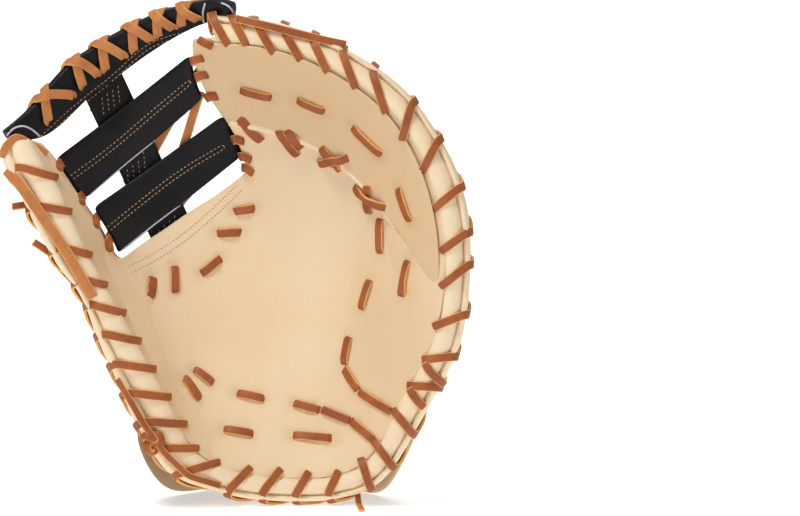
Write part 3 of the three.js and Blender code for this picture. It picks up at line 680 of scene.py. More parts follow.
def cut_edge_finish():
    edge = Finish("undyed_cut_edge")
    fuzz = edge.noise(1400, 3, 0.6)
    base = edge.between(fuzz, (0.34, 0.35, 0.43), (0.72, 0.74, 0.84))
    edge.surface(Base_Color=base, Roughness=0.8, Normal=edge.bump(fuzz, 0.4, 0.0004))
    return edge.material


black = black_finish()
pale_cut = cut_edge_finish()
bar_upper = dressed("web_bar_upper", "upper_bar_hide", 3, black)
bar_lower = dressed("web_bar_lower", "lower_bar_hide", 3, black)
BAR_CORNERS = {
    "upper": ((55, 154), (189, 56), (204, 101), (82, 200)),
    "lower": ((89, 210), (222, 114), (238, 165), (118, 253)),
}


def fit_bar(bar, corners):
    """Draws a bar out to the edges of the web's opening, where it is sewn in and tied."""
    rows = places_of(bar.data)
    low_x = rows @ np.array(RIGHT)
    high_h = rows @ np.array(UP)
    goal = [seen_at(*c) for c in corners]
    goal = [(g.dot(RIGHT), g.dot(UP)) for g in goal]
    along = np.array([goal[1][0] - goal[0][0], goal[1][1] - goal[0][1]])
    along /= np.linalg.norm(along)
    across = np.array([along[1], -along[0]])
    own = np.stack([low_x, high_h], axis=1)
    gx = np.array(goal)
    for axis, slack in ((along, 0.0), (across, 0.0)):
        a = own @ axis
        g = gx @ axis
        if axis is along:
            wanted_low, wanted_high = min(g[0], g[3]) - slack, max(g[1], g[2]) + slack
        else:
            wanted_low, wanted_high = min(g[0], g[1]), max(g[2], g[3])
        scale = (wanted_high - wanted_low) / (a.max() - a.min())
        moved = wanted_low + (a - a.min()) * scale - a
        rows += np.outer(moved * axis[0], np.array(RIGHT)) + np.outer(moved * axis[1], np.array(UP))
    bar.data.vertices.foreach_set("co", rows.ravel())
    bar.data.update()


fit_bar(bar_upper, BAR_CORNERS["upper"])
fit_bar(bar_lower, BAR_CORNERS["lower"])
spine = dressed("web_spine", "spine_hide", 3, black)
TOP_BAR = [
    (-0.492, 0.738, 0.80, 7), (-0.440, 0.783, 0.67, 20), (-0.364, 0.868, 0.53, 24), (-0.300, 0.913, 0.46, 24),
    (-0.225, 0.953, 0.44, 21), (-0.161, 0.980, 0.48, 18.5), (-0.096, 0.996, 0.58, 15), (-0.043, 1.004, 0.70, 13),
    (-0.004, 0.992, 0.79, 9),
]
BAR_DOWN = Vector((0.594, -0.805, 0))
BULGE = 0.0043


def bar_frame(s):
    """The top bar's upper line, the ways down and out from it, and how deep it is there."""
    def at(v):
        return Vector((smooth_run([r[0] for r in TOP_BAR], v) * FACE_WIDTH,
                       smooth_run([r[1] for r in TOP_BAR], v) * FACE_HEIGHT,
                       smooth_run([r[2] for r in TOP_BAR], v) * CUP))
    way = (at(s + 0.05) - at(s - 0.05)).normalized()
    down = BAR_DOWN + Vector((0, 0, -0.25))
    down -= way * down.dot(way)
    down.normalize()
    look = down.cross(way).normalized()
    if look.z < 0:
        look = -look
    return at(s), down, look, smooth_run([r[3] for r in TOP_BAR], s) / 1000


def top_bar_place(share, degrees):
    s = share * (len(TOP_BAR) - 1)
    origin, down, look, tall = bar_frame(s)
    a = math.radians(degrees)
    q = (tall - tall * math.cos(a)) / 2
    half = 0.0021 + (BULGE - 0.0021) * math.exp(-max(0, q - 0.0045) ** 2 / 0.0045 ** 2)
    soft = abs(math.sin(a)) ** 0.42 * (1 if math.sin(a) > 0 else -1)
    closing = math.sqrt(max(0.03, 1 - max(0, 1 - min(share, 1 - share) / 0.012) ** 2))
    ripple = 0.00025 * math.sin(s * 7.1) * math.sin(q * 900)
    return stood(origin + down * q + look * ((half * soft) * closing + ripple))


top_bar = skin_tube("top_bar_hide", 150, 36, top_bar_place, black)
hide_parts("web_top_bar")

# The lining: matt black hide inside the wrist, seen through the hole.


def lining_finish():
    cloth = Finish("lining_hide")
    nap = cloth.noise(700, 3, 0.6)
    base = cloth.between(nap, (0.008, 0.008, 0.009), (0.024, 0.022, 0.024))
    cloth.surface(Base_Color=base, Roughness=0.75, Normal=cloth.bump(nap, 0.2, 0.0006))
    return cloth.material


lining = dressed("hand_lining", "hand_lining_hide", 2, lining_finish())

# The label: a woven black patch sewn on the strap, with two plain pale lines inside its border and
# a row of bars of no meaning.


def label_finish():
    low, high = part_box("wrist_label")
    low.x, high.x = seen_at(218, 460, 0).x, seen_at(341, 460, 0).x
    patch = Finish("woven_label")
    weave = patch.node(
        "ShaderNodeTexWave", {"wave_type": "BANDS", "bands_direction": "Z"},
        {"Vector": patch.place, "Scale": 420.0, "Distortion": 0.0},
    )
    across = patch.node("ShaderNodeTexWave", {"wave_type": "BANDS", "bands_direction": "X"},
                        {"Vector": patch.place, "Scale": 420.0, "Distortion": 0.0})
    split = patch.node("ShaderNodeSeparateXYZ", None, {0: patch.place}, out="Z")
    side = patch.node("ShaderNodeSeparateXYZ", None, {0: patch.place}, out="X")
    height = (split - low.z) * (1 / (high.z - low.z))
    reach = (side - low.x) * (1 / (high.x - low.x))

    def line(value, at, half):
        gap = patch.node("ShaderNodeMath", {"operation": "ABSOLUTE"}, {0: value - at})
        return patch.node("ShaderNodeMath", {"operation": "LESS_THAN"}, {0: gap, 1: half})

    inside = line(reach, 0.5, 0.44) * line(height, 0.5, 0.40)
    core = line(reach, 0.5, 0.425) * line(height, 0.5, 0.365)
    border = inside - core
    bars = line(height, 0.5, 0.035) * line(reach, 0.5, 0.34)
    low_bars = line(height, 0.36, 0.018) * line(reach, 0.5, 0.24)
    high_bars = line(height, 0.64, 0.018) * line(reach, 0.5, 0.24)
    print_mask = border + bars + low_bars + high_bars
    thread = patch.node("ShaderNodeMath", {"operation": "MINIMUM"}, {0: print_mask, 1: 1.0})
    black_thread = patch.between(weave, (0.006, 0.006, 0.008), (0.018, 0.018, 0.021))
    base = patch.between(thread, black_thread, (0.62, 0.62, 0.64))
    patch.surface(Base_Color=base, Roughness=0.62, Normal=patch.bump(weave + across, 0.35, 0.0004))
    return patch.material


low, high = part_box("wrist_label")
under_label = surface_of(wrist_strap, back_shell)
clear_choice()
bpy.ops.mesh.primitive_grid_add(x_subdivisions=36, y_subdivisions=18, size=2)
label = bpy.context.object
label.name = "strap_label"
depth = 0.05
for v in label.data.vertices:
    across, up = (v.co.x + 1) / 2, (v.co.y + 1) / 2
    px = 343 - 6 * (1 - up) - (123 - 4 * (1 - up)) * across
    at = Vector((seen_at(px, 460, 0).x, 0.2, low.z + (high.z - 0.0018 - low.z) * up))
    hit = under_label.ray_cast(at, Vector((0, -1, 0)))[0]
    depth = hit.y if hit is not None else depth
    v.co = Vector((at.x, depth + 0.0005, at.z))
bpy.ops.object.mode_set(mode="EDIT")
bpy.ops.mesh.select_all(action="SELECT")
bpy.ops.mesh.normals_make_consistent(inside=False)
bpy.ops.object.mode_set(mode="OBJECT")
thicken = label.modifiers.new("thicken", "SOLIDIFY")
thicken.thickness = 0.0011
thicken.offset = 0.0
bpy.ops.object.modifier_apply(modifier="thicken")
label.data.materials.append(label_finish())
bpy.ops.object.shade_smooth_by_angle(angle=math.radians(40))
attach(label, "root")
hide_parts("wrist_label")

# The lace: flat oiled rawhide, red-brown on its worn faces and golden on its cut edges. It binds the
# rim in slanting turns, from a hole beside the groove over both rolls and back behind them.


def lace_finish(name, light, dark, rough):
    hide = Finish(name)
    stretch = hide.node("ShaderNodeMapping", None, {"Vector": hide.place, "Scale": (1, 1, 1)})
    streak = hide.noise(240, 4, 0.6, stretch)
    cloud = hide.noise(45, 3, 0.6)
    fine = hide.noise(1500, 2, 0.5)
    base = hide.between(hide.ramp(cloud * 0.6 + streak * 0.4, 0.35, 0.65), dark, light)
    hide.surface(Base_Color=base, Roughness=rough + fine * 0.15)
    hide.surface(Normal=hide.bump(streak + fine * 0.5, 0.25, 0.0006), Specular_IOR_Level=0.4)
    return hide.material


lace_hide = lace_finish("rawhide_face", (0.39, 0.112, 0.026), (0.26, 0.060, 0.016), 0.42)
lace_bright = lace_finish("rawhide_bright_face", (0.57, 0.22, 0.060), (0.43, 0.14, 0.036), 0.45)
lace_cut = lace_finish("rawhide_cut_edge", (0.86, 0.46, 0.13), (0.66, 0.28, 0.07), 0.6)
LACE_WIDE = 0.0054
LACE_THICK = 0.0018


def lay_lace(name, stops, wide=LACE_WIDE, thick=LACE_THICK, face=None, spans=4, taper=0.0):
    """A flat lace through stops, each a place and the way its face looks."""
    places = [Vector(p) for p, _ in stops]
    looks = [Vector(n).normalized() for _, n in stops]
    rings = (len(stops) - 1) * spans
    clear_choice()
    bpy.ops.mesh.primitive_grid_add(x_subdivisions=rings, y_subdivisions=4, size=2)
    strip = bpy.context.object
    strip.name = name
    for v in strip.data.vertices:
        t = (v.co.x + 1) / 2 * (len(stops) - 1)
        side_share = v.co.y
        here = smooth_run(places, t)
        way = (smooth_run(places, t + 0.05) - smooth_run(places, t - 0.05)).normalized()
        look = smooth_run(looks, t).normalized()
        side = way.cross(look).normalized()
        up = side.cross(way).normalized()
        ends = min(t, len(stops) - 1 - t) / (len(stops) - 1)
        half = wide / 2 * (1 - taper * math.exp(-(ends / 0.06) ** 2))
        v.co = here + side * side_share * half - up * (side_share ** 2) * thick * 0.12
    strip.data.materials.append(face or lace_hide)
    strip.data.materials.append(lace_cut)
    body = strip.modifiers.new("body", "SOLIDIFY")
    body.thickness = thick
    body.offset = 0
    body.material_offset_rim = 1
    bpy.ops.object.modifier_apply(modifier="body")
    worn = strip.modifiers.new("worn", "BEVEL")
    worn.width = min(0.0005, thick * 0.45)
    worn.segments = 2
    worn.material = 1
    worn.angle_limit = math.radians(50)
    bpy.ops.object.modifier_apply(modifier="worn")
    bpy.ops.object.mode_set(mode="EDIT")
    bpy.ops.mesh.select_all(action="SELECT")
    bpy.ops.mesh.normals_make_consistent(inside=False)
    bpy.ops.object.mode_set(mode="OBJECT")
    bpy.ops.object.shade_smooth_by_angle(angle=math.radians(40))
    return strip


def gathered(name, strips, *nodes):
    """Several like pieces as one."""
    clear_choice()
    for strip in strips:
        strip.select_set(True)
    bpy.context.view_layer.objects.active = strips[0]
    if len(strips) > 1:
        bpy.ops.object.join()
    piece = bpy.context.object
    piece.name = name
    piece.data.name = name
    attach(piece, "root")
    if nodes:
        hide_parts(*nodes)
    return piece


def taut(line):
    """Keeps the places that a pulled lace touches: the upper hull over the line."""
    kept = []
    for spot in line:
        while len(kept) > 1:
            (ax, az), (bx, bz) = kept[-2][:2], kept[-1][:2]
            if (bx - ax) * (spot[1] - az) - (bz - az) * (spot[0] - ax) < 0:
                break
            kept.pop()
        kept.append(spot)
    return kept


def over_rim(inner, outer, tree):
    """The lace's way over the rim as it shows: straight in the picture, and taut over the rolls."""
    run = []
    for i in range(17):
        share = i / 16 * 0.96
        px = inner[0] + (outer[0] - inner[0]) * share
        py = inner[1] + (outer[1] - inner[1]) * share
        place, _, _, _ = tree.ray_cast(seen_at(px, py, 0.2), -FORWARD)
        if place:
            run.append((share * math.hypot(outer[0] - inner[0], outer[1] - inner[1]) * 0.0006, place.dot(FORWARD), place))
    kept = taut(run)
    stops = []
    for k, (_, _, place) in enumerate(kept):
        ahead = kept[min(k + 1, len(kept) - 1)][2] - kept[max(k - 1, 0)][2]
        side = ahead.cross(FORWARD).normalized()
        look = side.cross(ahead).normalized()
        if look.dot(FORWARD) < 0:
            look = -look
        stops.append((place + look * 0.0012, look))
    return stops


rim_front = surface_of(palm, finger_piece, palm_roll, back_roll)


def rim_turns(name, turns, ends, node, floor_side=0.001):
    strips = []
    for i, (hole, turn) in enumerate(ends):
        after = ends[i + 1][0] if i + 1 < len(ends) else turn + 0.2
        front_run = over_rim(*turns[i], rim_front)
        first, look = front_run[0]
        inward_step = (first - front_run[1][0]).normalized()
        stops = [(first - look * 0.0040 + inward_step * 0.0016, look + inward_step * 2), (first - look * 0.0008 + inward_step * 0.0010, look + inward_step)]
        stops += front_run
        for k, degrees in enumerate((6, -34, -72, -105)):
            u = turn + (after - turn) * k / 5
            p, q = roll_point(u, 1, degrees, 0.0016), roll_point(u, 1, degrees, -0.001)
            stops.append((stood(p, floor_side), out_way(p - q) + FORWARD * (p - q).z))
        p = roll_point(turn + (after - turn) * 0.9, 0, -90, 0.0013)
        stops.append((stood(p, floor_side), -FORWARD))
        origin, out, start, _ = rim_frame(after)
        stops.append((stood(origin + out * (start - 0.0032) + Vector((0, 0, -0.0125)), floor_side), -out_way(out)))
        strips.append(lay_lace(f"{name}_{i}", evened(stops), spans=2, taper=0.3))
    return gathered(name, strips, node)


def evened(stops, pitch=0.0032):
    """The same way with stops at even steps, eased at the corners."""
    places = [Vector(p) for p, _ in stops]
    looks = [Vector(n).normalized() for _, n in stops]
    walked = [0.0]
    for a, b in zip(places, places[1:]):
        walked.append(walked[-1] + (b - a).length)
    count = max(4, int(walked[-1] / pitch))
    made = []
    for i in range(count + 1):
        d = walked[-1] * i / count
        k = max(j for j in range(len(walked) - 1) if walked[j] <= d + 1e-9)
        part = (d - walked[k]) / max(walked[k + 1] - walked[k], 1e-9)
        made.append((places[k].lerp(places[k + 1], part), looks[k].lerp(looks[k + 1], part)))
    eased = [made[0]]
    for a, b, c in zip(made, made[1:], made[2:]):
        eased.append(((a[0] + b[0] * 2 + c[0]) / 4, a[1] + b[1] * 2 + c[1]))
    return eased + [made[-1]]


def out_way(out):
    return RIGHT * out.x + UP * out.y


thumb_lacing = rim_turns("thumb_rim_lacing", THUMB_TURNS, THUMB_ENDS, "rim_lace_thumb")
finger_lacing = rim_turns("finger_rim_lacing", FINGER_TURNS, FINGER_ENDS, "rim_lace_finger")

# The palm's own laces: short dashes of the same rawhide that pass through the palm and hold the
# padding behind it, and the few that tie the finger piece's lip down over the palm.


def dash(name, a, b, tree, rise=0.0011, face=None):
    """A short lace from hole to hole, a little proud in the middle."""
    stops = []
    for share, lift in ((0, -0.0018), (0.07, 0.0002), (0.22, rise), (0.5, rise + 0.0002), (0.78, rise), (0.93, 0.0002), (1, -0.0018)):
        place, normal = on_front(a[0] + (b[0] - a[0]) * share, a[1] + (b[1] - a[1]) * share, tree)
        stops.append((place + normal * lift, normal))
    return lay_lace(name, stops, face=face, spans=3, taper=0.22)


front = surface_of(palm, finger_piece, seam_lip)
gathered("palm_laces", [dash(f"palm_lace_{i}", a, b, palm_front) for i, (a, b) in enumerate(PALM_LACES)])
SEAM_LACES = [
    ((238, 119), (262, 141)), ((278, 131), (298, 156)), ((286, 131), (302, 148)), ((321, 147), (341, 171)),
    ((349, 158), (317, 163)), ((367, 186), (369, 214)), ((353, 186), (386, 209)),
]
gathered(
    "seam_laces",
    [dash(f"seam_lace_{i}", a, b, front, 0.0014 + 0.0016 * (i in (4, 6))) for i, (a, b) in enumerate(SEAM_LACES)],
)

# The loops that tie the web: short laces over the leather's web-side edge, round its rolled back
# binding and into the ends of the bars.
FINGER_LOOPS = [21.6, 20.7, 19.5, 17.3, 16.3, 15.3]
THUMB_LOOPS = [1.2, 2.5, 3.4, 4.3]


def inward(u):
    d = web_edge(u + 0.15) - web_edge(u - 0.15)
    return Vector((d.y, -d.x, 0)).normalized()


def edge_loop(name, u, inset, lift, tilt):
    side = inward(u)
    edge = web_edge(u)
    far_share = inset / (groove(u) - edge).length
    start = palm_face(u + tilt, far_share)
    flap = 0.0
    deep = 0.0147
    roll = edge + side * (0.0034 + 0.0006) + Vector((0, 0, -deep))
    web, behind = -side, Vector((0, 0, -1))
    clear = 0.0011
    stops = [
        (start + Vector((0, 0, -0.0020 + lift)), Vector((0, 0, 1))),
        (start.lerp(edge, 0.25) + Vector((0, 0, clear + lift)), Vector((0, 0, 1))),
        (edge.lerp(start, 0.25) + Vector((0, 0, clear + lift)), Vector((0, 0, 1))),
        (edge + web * 0.0010 + Vector((0, 0, lift)), web + Vector((0, 0, 1))),
        (edge + web * 0.0016 + Vector((0, 0, -0.004)), web),
        (roll + web * 0.0050, web),
        (roll + web * 0.0034 + behind * 0.0036, web + behind),
        (roll + behind * 0.0052, behind),
        (roll + side * 0.0050 + behind * 0.0052, behind),
        (roll + side * 0.0075 + behind * 0.0015, behind),
    ]
    return lay_lace(name, [(stood(p), out_way(n) + FORWARD * n.z) for p, n in stops], spans=3, taper=0.15)


for i, u in enumerate(FINGER_LOOPS):
    gathered(f"finger_tie_{i + 1}", [edge_loop("tie", u, 0.0065, 0.0026 if u > 18 else 0, 0)], f"finger_loop_{i + 1}")
for i, u in enumerate(THUMB_LOOPS):
    gathered(f"thumb_tie_{i + 1}", [edge_loop("tie", u, 0.005, 0, 0.25)], f"thumb_loop_{i + 1}")

# The top bar's lacing: two laces that cross over the roll at each pair of holes.
def top_cross(name, middle, sign, lift):
    apart = 0.30 * 0.9 * (1 if sign > 0 else -1.2)
    skin = BULGE + 0.0009 + 0.0002
    stops = []
    plan = [
        (-1.00, 0.66, 0, skin - 0.0035, (0, 1)), (-1.00, 0.60, 0, skin, (0, 1)), (-0.62, 0.36, 0, skin + lift * 0.7, (0, 1)),
        (-0.15, 0.10, 0, skin + lift, (0, 1)), (0.25, 0, -0.0004, BULGE * 0.75 + lift * 0.8, (-0.7, 0.7)),
        (0.50, 0, -0.0012 - lift * 0.3, 0, (-1, 0)), (0.75, 0, BULGE * 0.4, -BULGE * 0.95, (-0.7, -0.7)),
        (1.00, 0.22, 0, -skin, (0, -1)), (1.00, 0.50, 0, -skin, (0, -1)), (1.00, 0.58, 0, -skin + 0.0035, (0, -1)),
    ]
    for share, q_share, q, f, (d, l) in plan:
        origin, down, look, tall = bar_frame(middle + apart * share)
        p = origin + down * (q_share * tall + q) + look * f
        n = down * d + look * l
        stops.append((stood(p), out_way(n) + FORWARD * n.z))
    return lay_lace(name, stops, face=lace_bright, spans=4, taper=0.2)


crossings = [0.9 + (i + 0.5) * 0.9 for i in range(6)]
gathered("top_lacing_under", [top_cross(f"u{i}", m, 1, 0) for i, m in enumerate(crossings)], "web_top_lace_under")
gathered("top_lacing_over", [top_cross(f"o{i}", m, -1, 0.0022) for i, m in enumerate(crossings)], "web_top_lace_over")

# The stitching: waxed thread in short dashes, two rows side by side. Tan on the black hide, brown on
# the cream one.


def lie(px, py, tree, side=1):
    """The place on a piece that shows at a pixel, from the front or from behind."""
    place, normal, _, _ = tree.ray_cast(seen_at(px, py, 0.25 * side), -FORWARD * side)
    if place is None:
        return None, None
    return place, normal if normal.dot(FORWARD) * side > 0 else -normal


def along_route(route, pitch):
    """Places at even steps of pixels along a route."""
    places = [Vector((x, y, 0)) for x, y in route]
    walked = [0.0]
    for a, b in zip(places, places[1:]):
        walked.append(walked[-1] + (b - a).length)
    count = max(2, int(walked[-1] / pitch))
    made = []
    for i in range(count + 1):
        d = walked[-1] * i / count
        k = max(j for j in range(len(walked) - 1) if walked[j] <= d + 1e-9)
        spot = places[k].lerp(places[k + 1], (d - walked[k]) / max(walked[k + 1] - walked[k], 1e-9))
        made.append((spot.x, spot.y))
    return made


def rounded_route(route, times=2):
    """The same route with its corners cut."""
    for _ in range(times):
        cut = [route[0]]
        for a, b in zip(route, route[1:]):
            cut.append((a[0] * 0.75 + b[0] * 0.25, a[1] * 0.75 + b[1] * 0.25))
            cut.append((a[0] * 0.25 + b[0] * 0.75, a[1] * 0.25 + b[1] * 0.75))
        route = cut + [route[-1]]
    return route


def thread_finish(name, colour):
    thread = Finish(name)
    twist = thread.noise(2600, 2, 0.5)
    dark = tuple(c * 0.6 for c in colour)
    thread.surface(Base_Color=thread.between(twist, dark, colour), Roughness=0.6)
    return thread.material


tan_thread = thread_finish("tan_thread", (0.62, 0.38, 0.17))
brown_thread = thread_finish("brown_thread", (0.30, 0.15, 0.06))
cream_thread = thread_finish("cream_thread", (0.72, 0.62, 0.42))


def stitched(name, routes, tree, finish, side=1, pitch=5.0, long=0.0021, wide=0.00062):
    """Dashes of thread along routes, each lying on the leather."""
    clear_choice()
    bpy.ops.mesh.primitive_uv_sphere_add(segments=6, ring_count=4, radius=1)
    one = bpy.context.object
    shape = places_of(one.data) * np.array([long / 2, wide / 2, wide / 2])
    faces = [list(f.vertices) for f in one.data.polygons]
    bpy.data.objects.remove(one)
    points, skins = [], []
    for route in routes:
        spots = along_route(rounded_route(route), pitch)
        for (ax, ay), (bx, by) in zip(spots, spots[1:]):
            a, n = lie(ax, ay, tree, side)
            b, _ = lie(bx, by, tree, side)
            if a is None or b is None or (b - a).length > pitch * 0.0012:
                continue
            way = (b - a).normalized()
            across = n.cross(way).normalized()
            frame_rows = np.array([way, across, way.cross(across).normalized()])
            start = len(points) * len(shape)
            points.append(shape @ frame_rows + np.array((a + b) / 2 + n * wide * 0.25))
            skins += [[start + i for i in f] for f in faces]
    mesh = bpy.data.meshes.new(name)
    mesh.from_pydata(np.concatenate(points).tolist(), [], skins)
    piece = bpy.data.objects.new(name, mesh)
    bpy.context.scene.collection.objects.link(piece)
    mesh.materials.append(finish)
    clear_choice()
    piece.select_set(True)
    bpy.context.view_layer.objects.active = piece
    bpy.ops.object.shade_smooth()
    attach(piece, "root")
    return piece


def double_row(route, apart):
    """Two rows beside a route."""
    rows = []
    spots = along_route(rounded_route(route), 6)
    for sign in (-0.5, 0.5):
        row = []
        for i, (x, y) in enumerate(spots):
            ax, ay = spots[max(i - 1, 0)]
            bx, by = spots[min(i + 1, len(spots) - 1)]
            size = math.hypot(bx - ax, by - ay)
            row.append((x - (by - ay) / size * apart * sign, y + (bx - ax) / size * apart * sign))
        rows.append(row)
    return rows


def long_loop(route, apart):
    """One row that goes along a route, round its end and back."""
    first, second = double_row(route, apart)
    ax, ay = first[-1]
    bx, by = second[-1]
    px, py = route[-1]
    qx, qy = route[-2]
    size = math.hypot(px - qx, py - qy)
    tip = (px + (px - qx) / size * apart * 0.5, py + (py - qy) / size * apart * 0.5)
    return [first + [tip] + second[::-1]]


web_front = surface_of(bar_upper, bar_lower, spine, top_bar)
web_rows = long_loop([(71, 178), (110, 149), (150, 114), (190, 82)], 4.4)
web_rows += long_loop([(104, 232), (140, 202), (180, 171), (223, 146)], 4.4)
web_rows += double_row([(42, 139), (80, 103), (115, 76), (140, 51), (160, 40), (190, 33)], 4.2)
for (ax, ay), (bx, by) in (((101, 96), (117, 84)), ((125, 163), (142, 150)), ((157, 228), (173, 214))):
    for k in range(4):
        x, y = ax + (bx - ax) * k / 3, ay + (by - ay) * k / 3
        web_rows.append([(x, y), (x + 2, y + 19)])
web_stitches = stitched("web_stitching", web_rows, web_front, tan_thread, pitch=4.4, long=0.0019)
flap_rows = double_row([(128, 270), (152, 258), (180, 240), (212, 213), (239, 187)], 7)
palm_stitches = stitched("palm_stitching", flap_rows, palm_front, brown_thread, pitch=3.6, long=0.0013, wide=0.0004)


# Thin lines where the black hide's cut edge shows, pale and a little blue
def edge_line(name, route, tree, side=1, wide=0.0011, finish=None, lift=0.00015):
    stops = []
    for x, y in along_route(rounded_route(route), 3):
        place, normal = lie(x, y, tree, side)
        if place is not None:
            stops.append((place + normal * lift, normal))
    piece = lay_lace(name, stops, wide=wide, thick=0.0006, face=finish or pale_cut, spans=1)
    piece.data.materials[1] = finish or pale_cut
    return piece


gathered("web_cut_edges", [
    edge_line("e1", [(9, 136), (16, 128), (26, 126), (35, 131), (43, 139)], web_front),
    edge_line("e2", [(206, 4), (203, 13), (204, 23)], web_front),
    edge_line("e5", [(222, 4), (231, 8), (235, 16)], web_front),
    edge_line("e3", [(84, 199), (140, 150), (203, 103)], web_front, wide=0.0007),
    edge_line("e4", [(119, 251), (180, 203), (237, 166)], web_front, wide=0.0007),
])


# The loose laces. Each is pulled over what it lies on, from where it leaves its hole to its cut end.
def route_over(route, tree, side=1, lift=0.0013, sink=0.0):
    """A lace's stops over whatever a tree holds, bridging the hollows."""
    spots = along_route(rounded_route(route), 3.0)
    run = []
    walked = 0.0
    for i, (x, y) in enumerate(spots):
        if i:
            walked += math.hypot(x - spots[i - 1][0], y - spots[i - 1][1]) * 0.0006
        place, _ = lie(x, y, tree, side)
        if place is not None:
            run.append((walked, place.dot(FORWARD) * side, place))
    kept = taut(run)
    stops = []
    for k, (_, _, place) in enumerate(kept):
        ahead = kept[min(k + 1, len(kept) - 1)][2] - kept[max(k - 1, 0)][2]
        sideways = ahead.cross(FORWARD * side).normalized()
        look = sideways.cross(ahead).normalized()
        if look.dot(FORWARD) * side < 0:
            look = -look
        stops.append((place + look * lift, look))
    if sink:
        first, look = stops[0]
        stops = [(first - look * sink, look)] + stops
    return evened(stops)


def knot(name, place, look, way, size=0.0046, face=None):
    """An overhand knot in the flat lace, pulled down."""
    across = look.cross(way).normalized()
    stops = []
    for i in range(25):
        t = i / 24 * 2 * math.pi * 0.93 + 0.22
        a = (math.sin(t) + 2 * math.sin(2 * t)) / 3
        b = (math.cos(t) - 2 * math.cos(2 * t)) / 3
        p = place + across * a * size + way * b * size + look * (0.0012 - math.sin(3 * t) * 0.0017)
        out_side = (across * a + way * b) * 0.9 + look
        stops.append((p, out_side))
    return lay_lace(name, stops, wide=LACE_WIDE * 0.86, face=face, spans=2)


def free_cord(name, stops, face, wide=LACE_WIDE):
    piece = gathered(name, [lay_lace(name, stops, wide=wide, face=face, spans=2)])
    path = [Vector(p) for p, _ in stops]
    return piece


over_rim_tree = surface_of(palm, finger_piece, palm_roll, back_roll, thumb_lacing, finger_lacing, top_bar)
top_tail = free_cord(
    "top_lace_tail",
    route_over([(237, 20), (255, 24), (290, 33), (330, 43), (369, 50)], over_rim_tree, sink=0.001), lace_hide, 0.0048,
)
thumb_tail = free_cord(
    "thumb_lace_tail",
    route_over([(9, 171), (28, 192), (50, 222), (72, 258), (94, 297)], over_rim_tree, sink=0.001), lace_bright, 0.0066,
)

# A turn of lace over the thumb's tip and one at the finger's corner hold the top bar's ends
tip_turns = gathered("tip_turns", [
    lay_lace("t1", route_over([(5, 157), (8, 144), (19, 135), (32, 136), (42, 145), (48, 154)], over_rim_tree), face=lace_bright, spans=2, taper=0.3),
    lay_lace("t2", route_over([(195, 37), (203, 43), (214, 48)], over_rim_tree), spans=2, taper=0.3),
])
rim_zigzags = gathered("rim_zigzags", [
    lay_lace("z1", route_over([(424, 362), (430, 373), (443, 383)], over_rim_tree), spans=2, taper=0.3),
    lay_lace("z2", route_over([(409, 387), (414, 398), (424, 407)], over_rim_tree), spans=2, taper=0.3),
])


# Short cut ends that stand out beyond the thumb's edge
def stub(name, a, b, u, wide=0.0046):
    deep = roll_point(u, 1, -30).z
    run = [(a[0] + (b[0] - a[0]) * i / 4, a[1] + (b[1] - a[1]) * i / 4) for i in range(5)]
    stops = [(seen_at(x, y, deep - 0.001 * i), FORWARD + UP * 0.4) for i, (x, y) in enumerate(run)]
    return lay_lace(name, stops, wide=wide, spans=2)


stubs = gathered("thumb_lace_ends", [
    stub("s1", (34, 204), (13, 207), 2.3), stub("s2", (66, 263), (34, 242), 3.9), stub("s3", (86, 293), (60, 267), 4.9),
])

# The back. Its finger panel ends in a double welt that runs round under the web, and a stitched pad
# stands a little proud over the finger; a plain oval patch is sewn on the thumb's side.
PAD = [(340, 331), (344, 260), (343, 219), (338, 200), (326, 188), (314, 196), (304, 222), (292, 262), (276, 327)]
WELT = [(301, 100), (309, 144), (307, 190), (294, 229), (265, 278), (228, 323), (206, 337), (176, 350), (139, 347)]


def inside_share(rows, loop, soft):
    """How far inside a loop of pixels each row lies: 0 at its edge and 1 from a little way in."""
    across = rows @ np.array(RIGHT)
    up = rows @ np.array(UP)
    base = seen_at(235, 495.7)
    px = 235 + (across - base.dot(RIGHT)) / FACE_WIDTH * 467
    py = 495.7 - (up - base.dot(UP)) / FACE_HEIGHT * 493.7
    nearest = np.full(len(rows), 1e9)
    crossed = np.zeros(len(rows), dtype=bool)
    for (ax, ay), (bx, by) in zip(loop, loop[1:] + loop[:1]):
        dx, dy = bx - ax, by - ay
        t = np.clip(((px - ax) * dx + (py - ay) * dy) / (dx * dx + dy * dy), 0, 1)
        nearest = np.minimum(nearest, np.hypot(px - ax - t * dx, py - ay - t * dy))
        over = (ay > py) != (by > py)
        crossed ^= over & (px < (bx - ax) * (py - ay) / (by - ay + 1e-12) + ax)
    return np.where(crossed, smooth_share(0, soft, nearest), 0)


rows = places_of(back_shell.data)
facing = places_of(back_shell.data, "normal") @ np.array(FORWARD) < -0.1
press(back_shell, -inside_share(rows, rounded_route(PAD), 5) * facing, 0.0016, 0.0)
behind_hide = surface_of(back_shell, wrist_strap)


def welt(name, route, apart=4.2, radius=0.0011, side=-1):
    lines = []
    for row in (double_row(route, apart) if apart else [route]):
        spots = [lie(x, y, behind_hide, side) for x, y in along_route(rounded_route(row), 4)]
        lines.append(piping(name, [p + n * radius * 0.35 for p, n in spots if p is not None], radius, cream_rim))
    return gathered(name, lines)


back_welt = welt("back_double_welt", WELT)
strap_welt = welt("strap_welt", [(211, 405), (198, 430), (195, 460), (201, 494)], 0, 0.0015)
pad_edge = welt("finger_pad_edge", PAD + [PAD[0]], 0, 0.0008)
inner_pad = [(x + (309 - x) * 0.13, y + (258 - y) * 0.08) for x, y in PAD]
back_stitches = stitched(
    "back_stitching",
    [inner_pad + [inner_pad[0]]] + double_row(WELT, 11) + [[(206, 404), (193, 430), (190, 460), (196, 492)]],
    behind_hide, brown_thread, side=-1, pitch=3.6, long=0.0013, wide=0.0004,
)

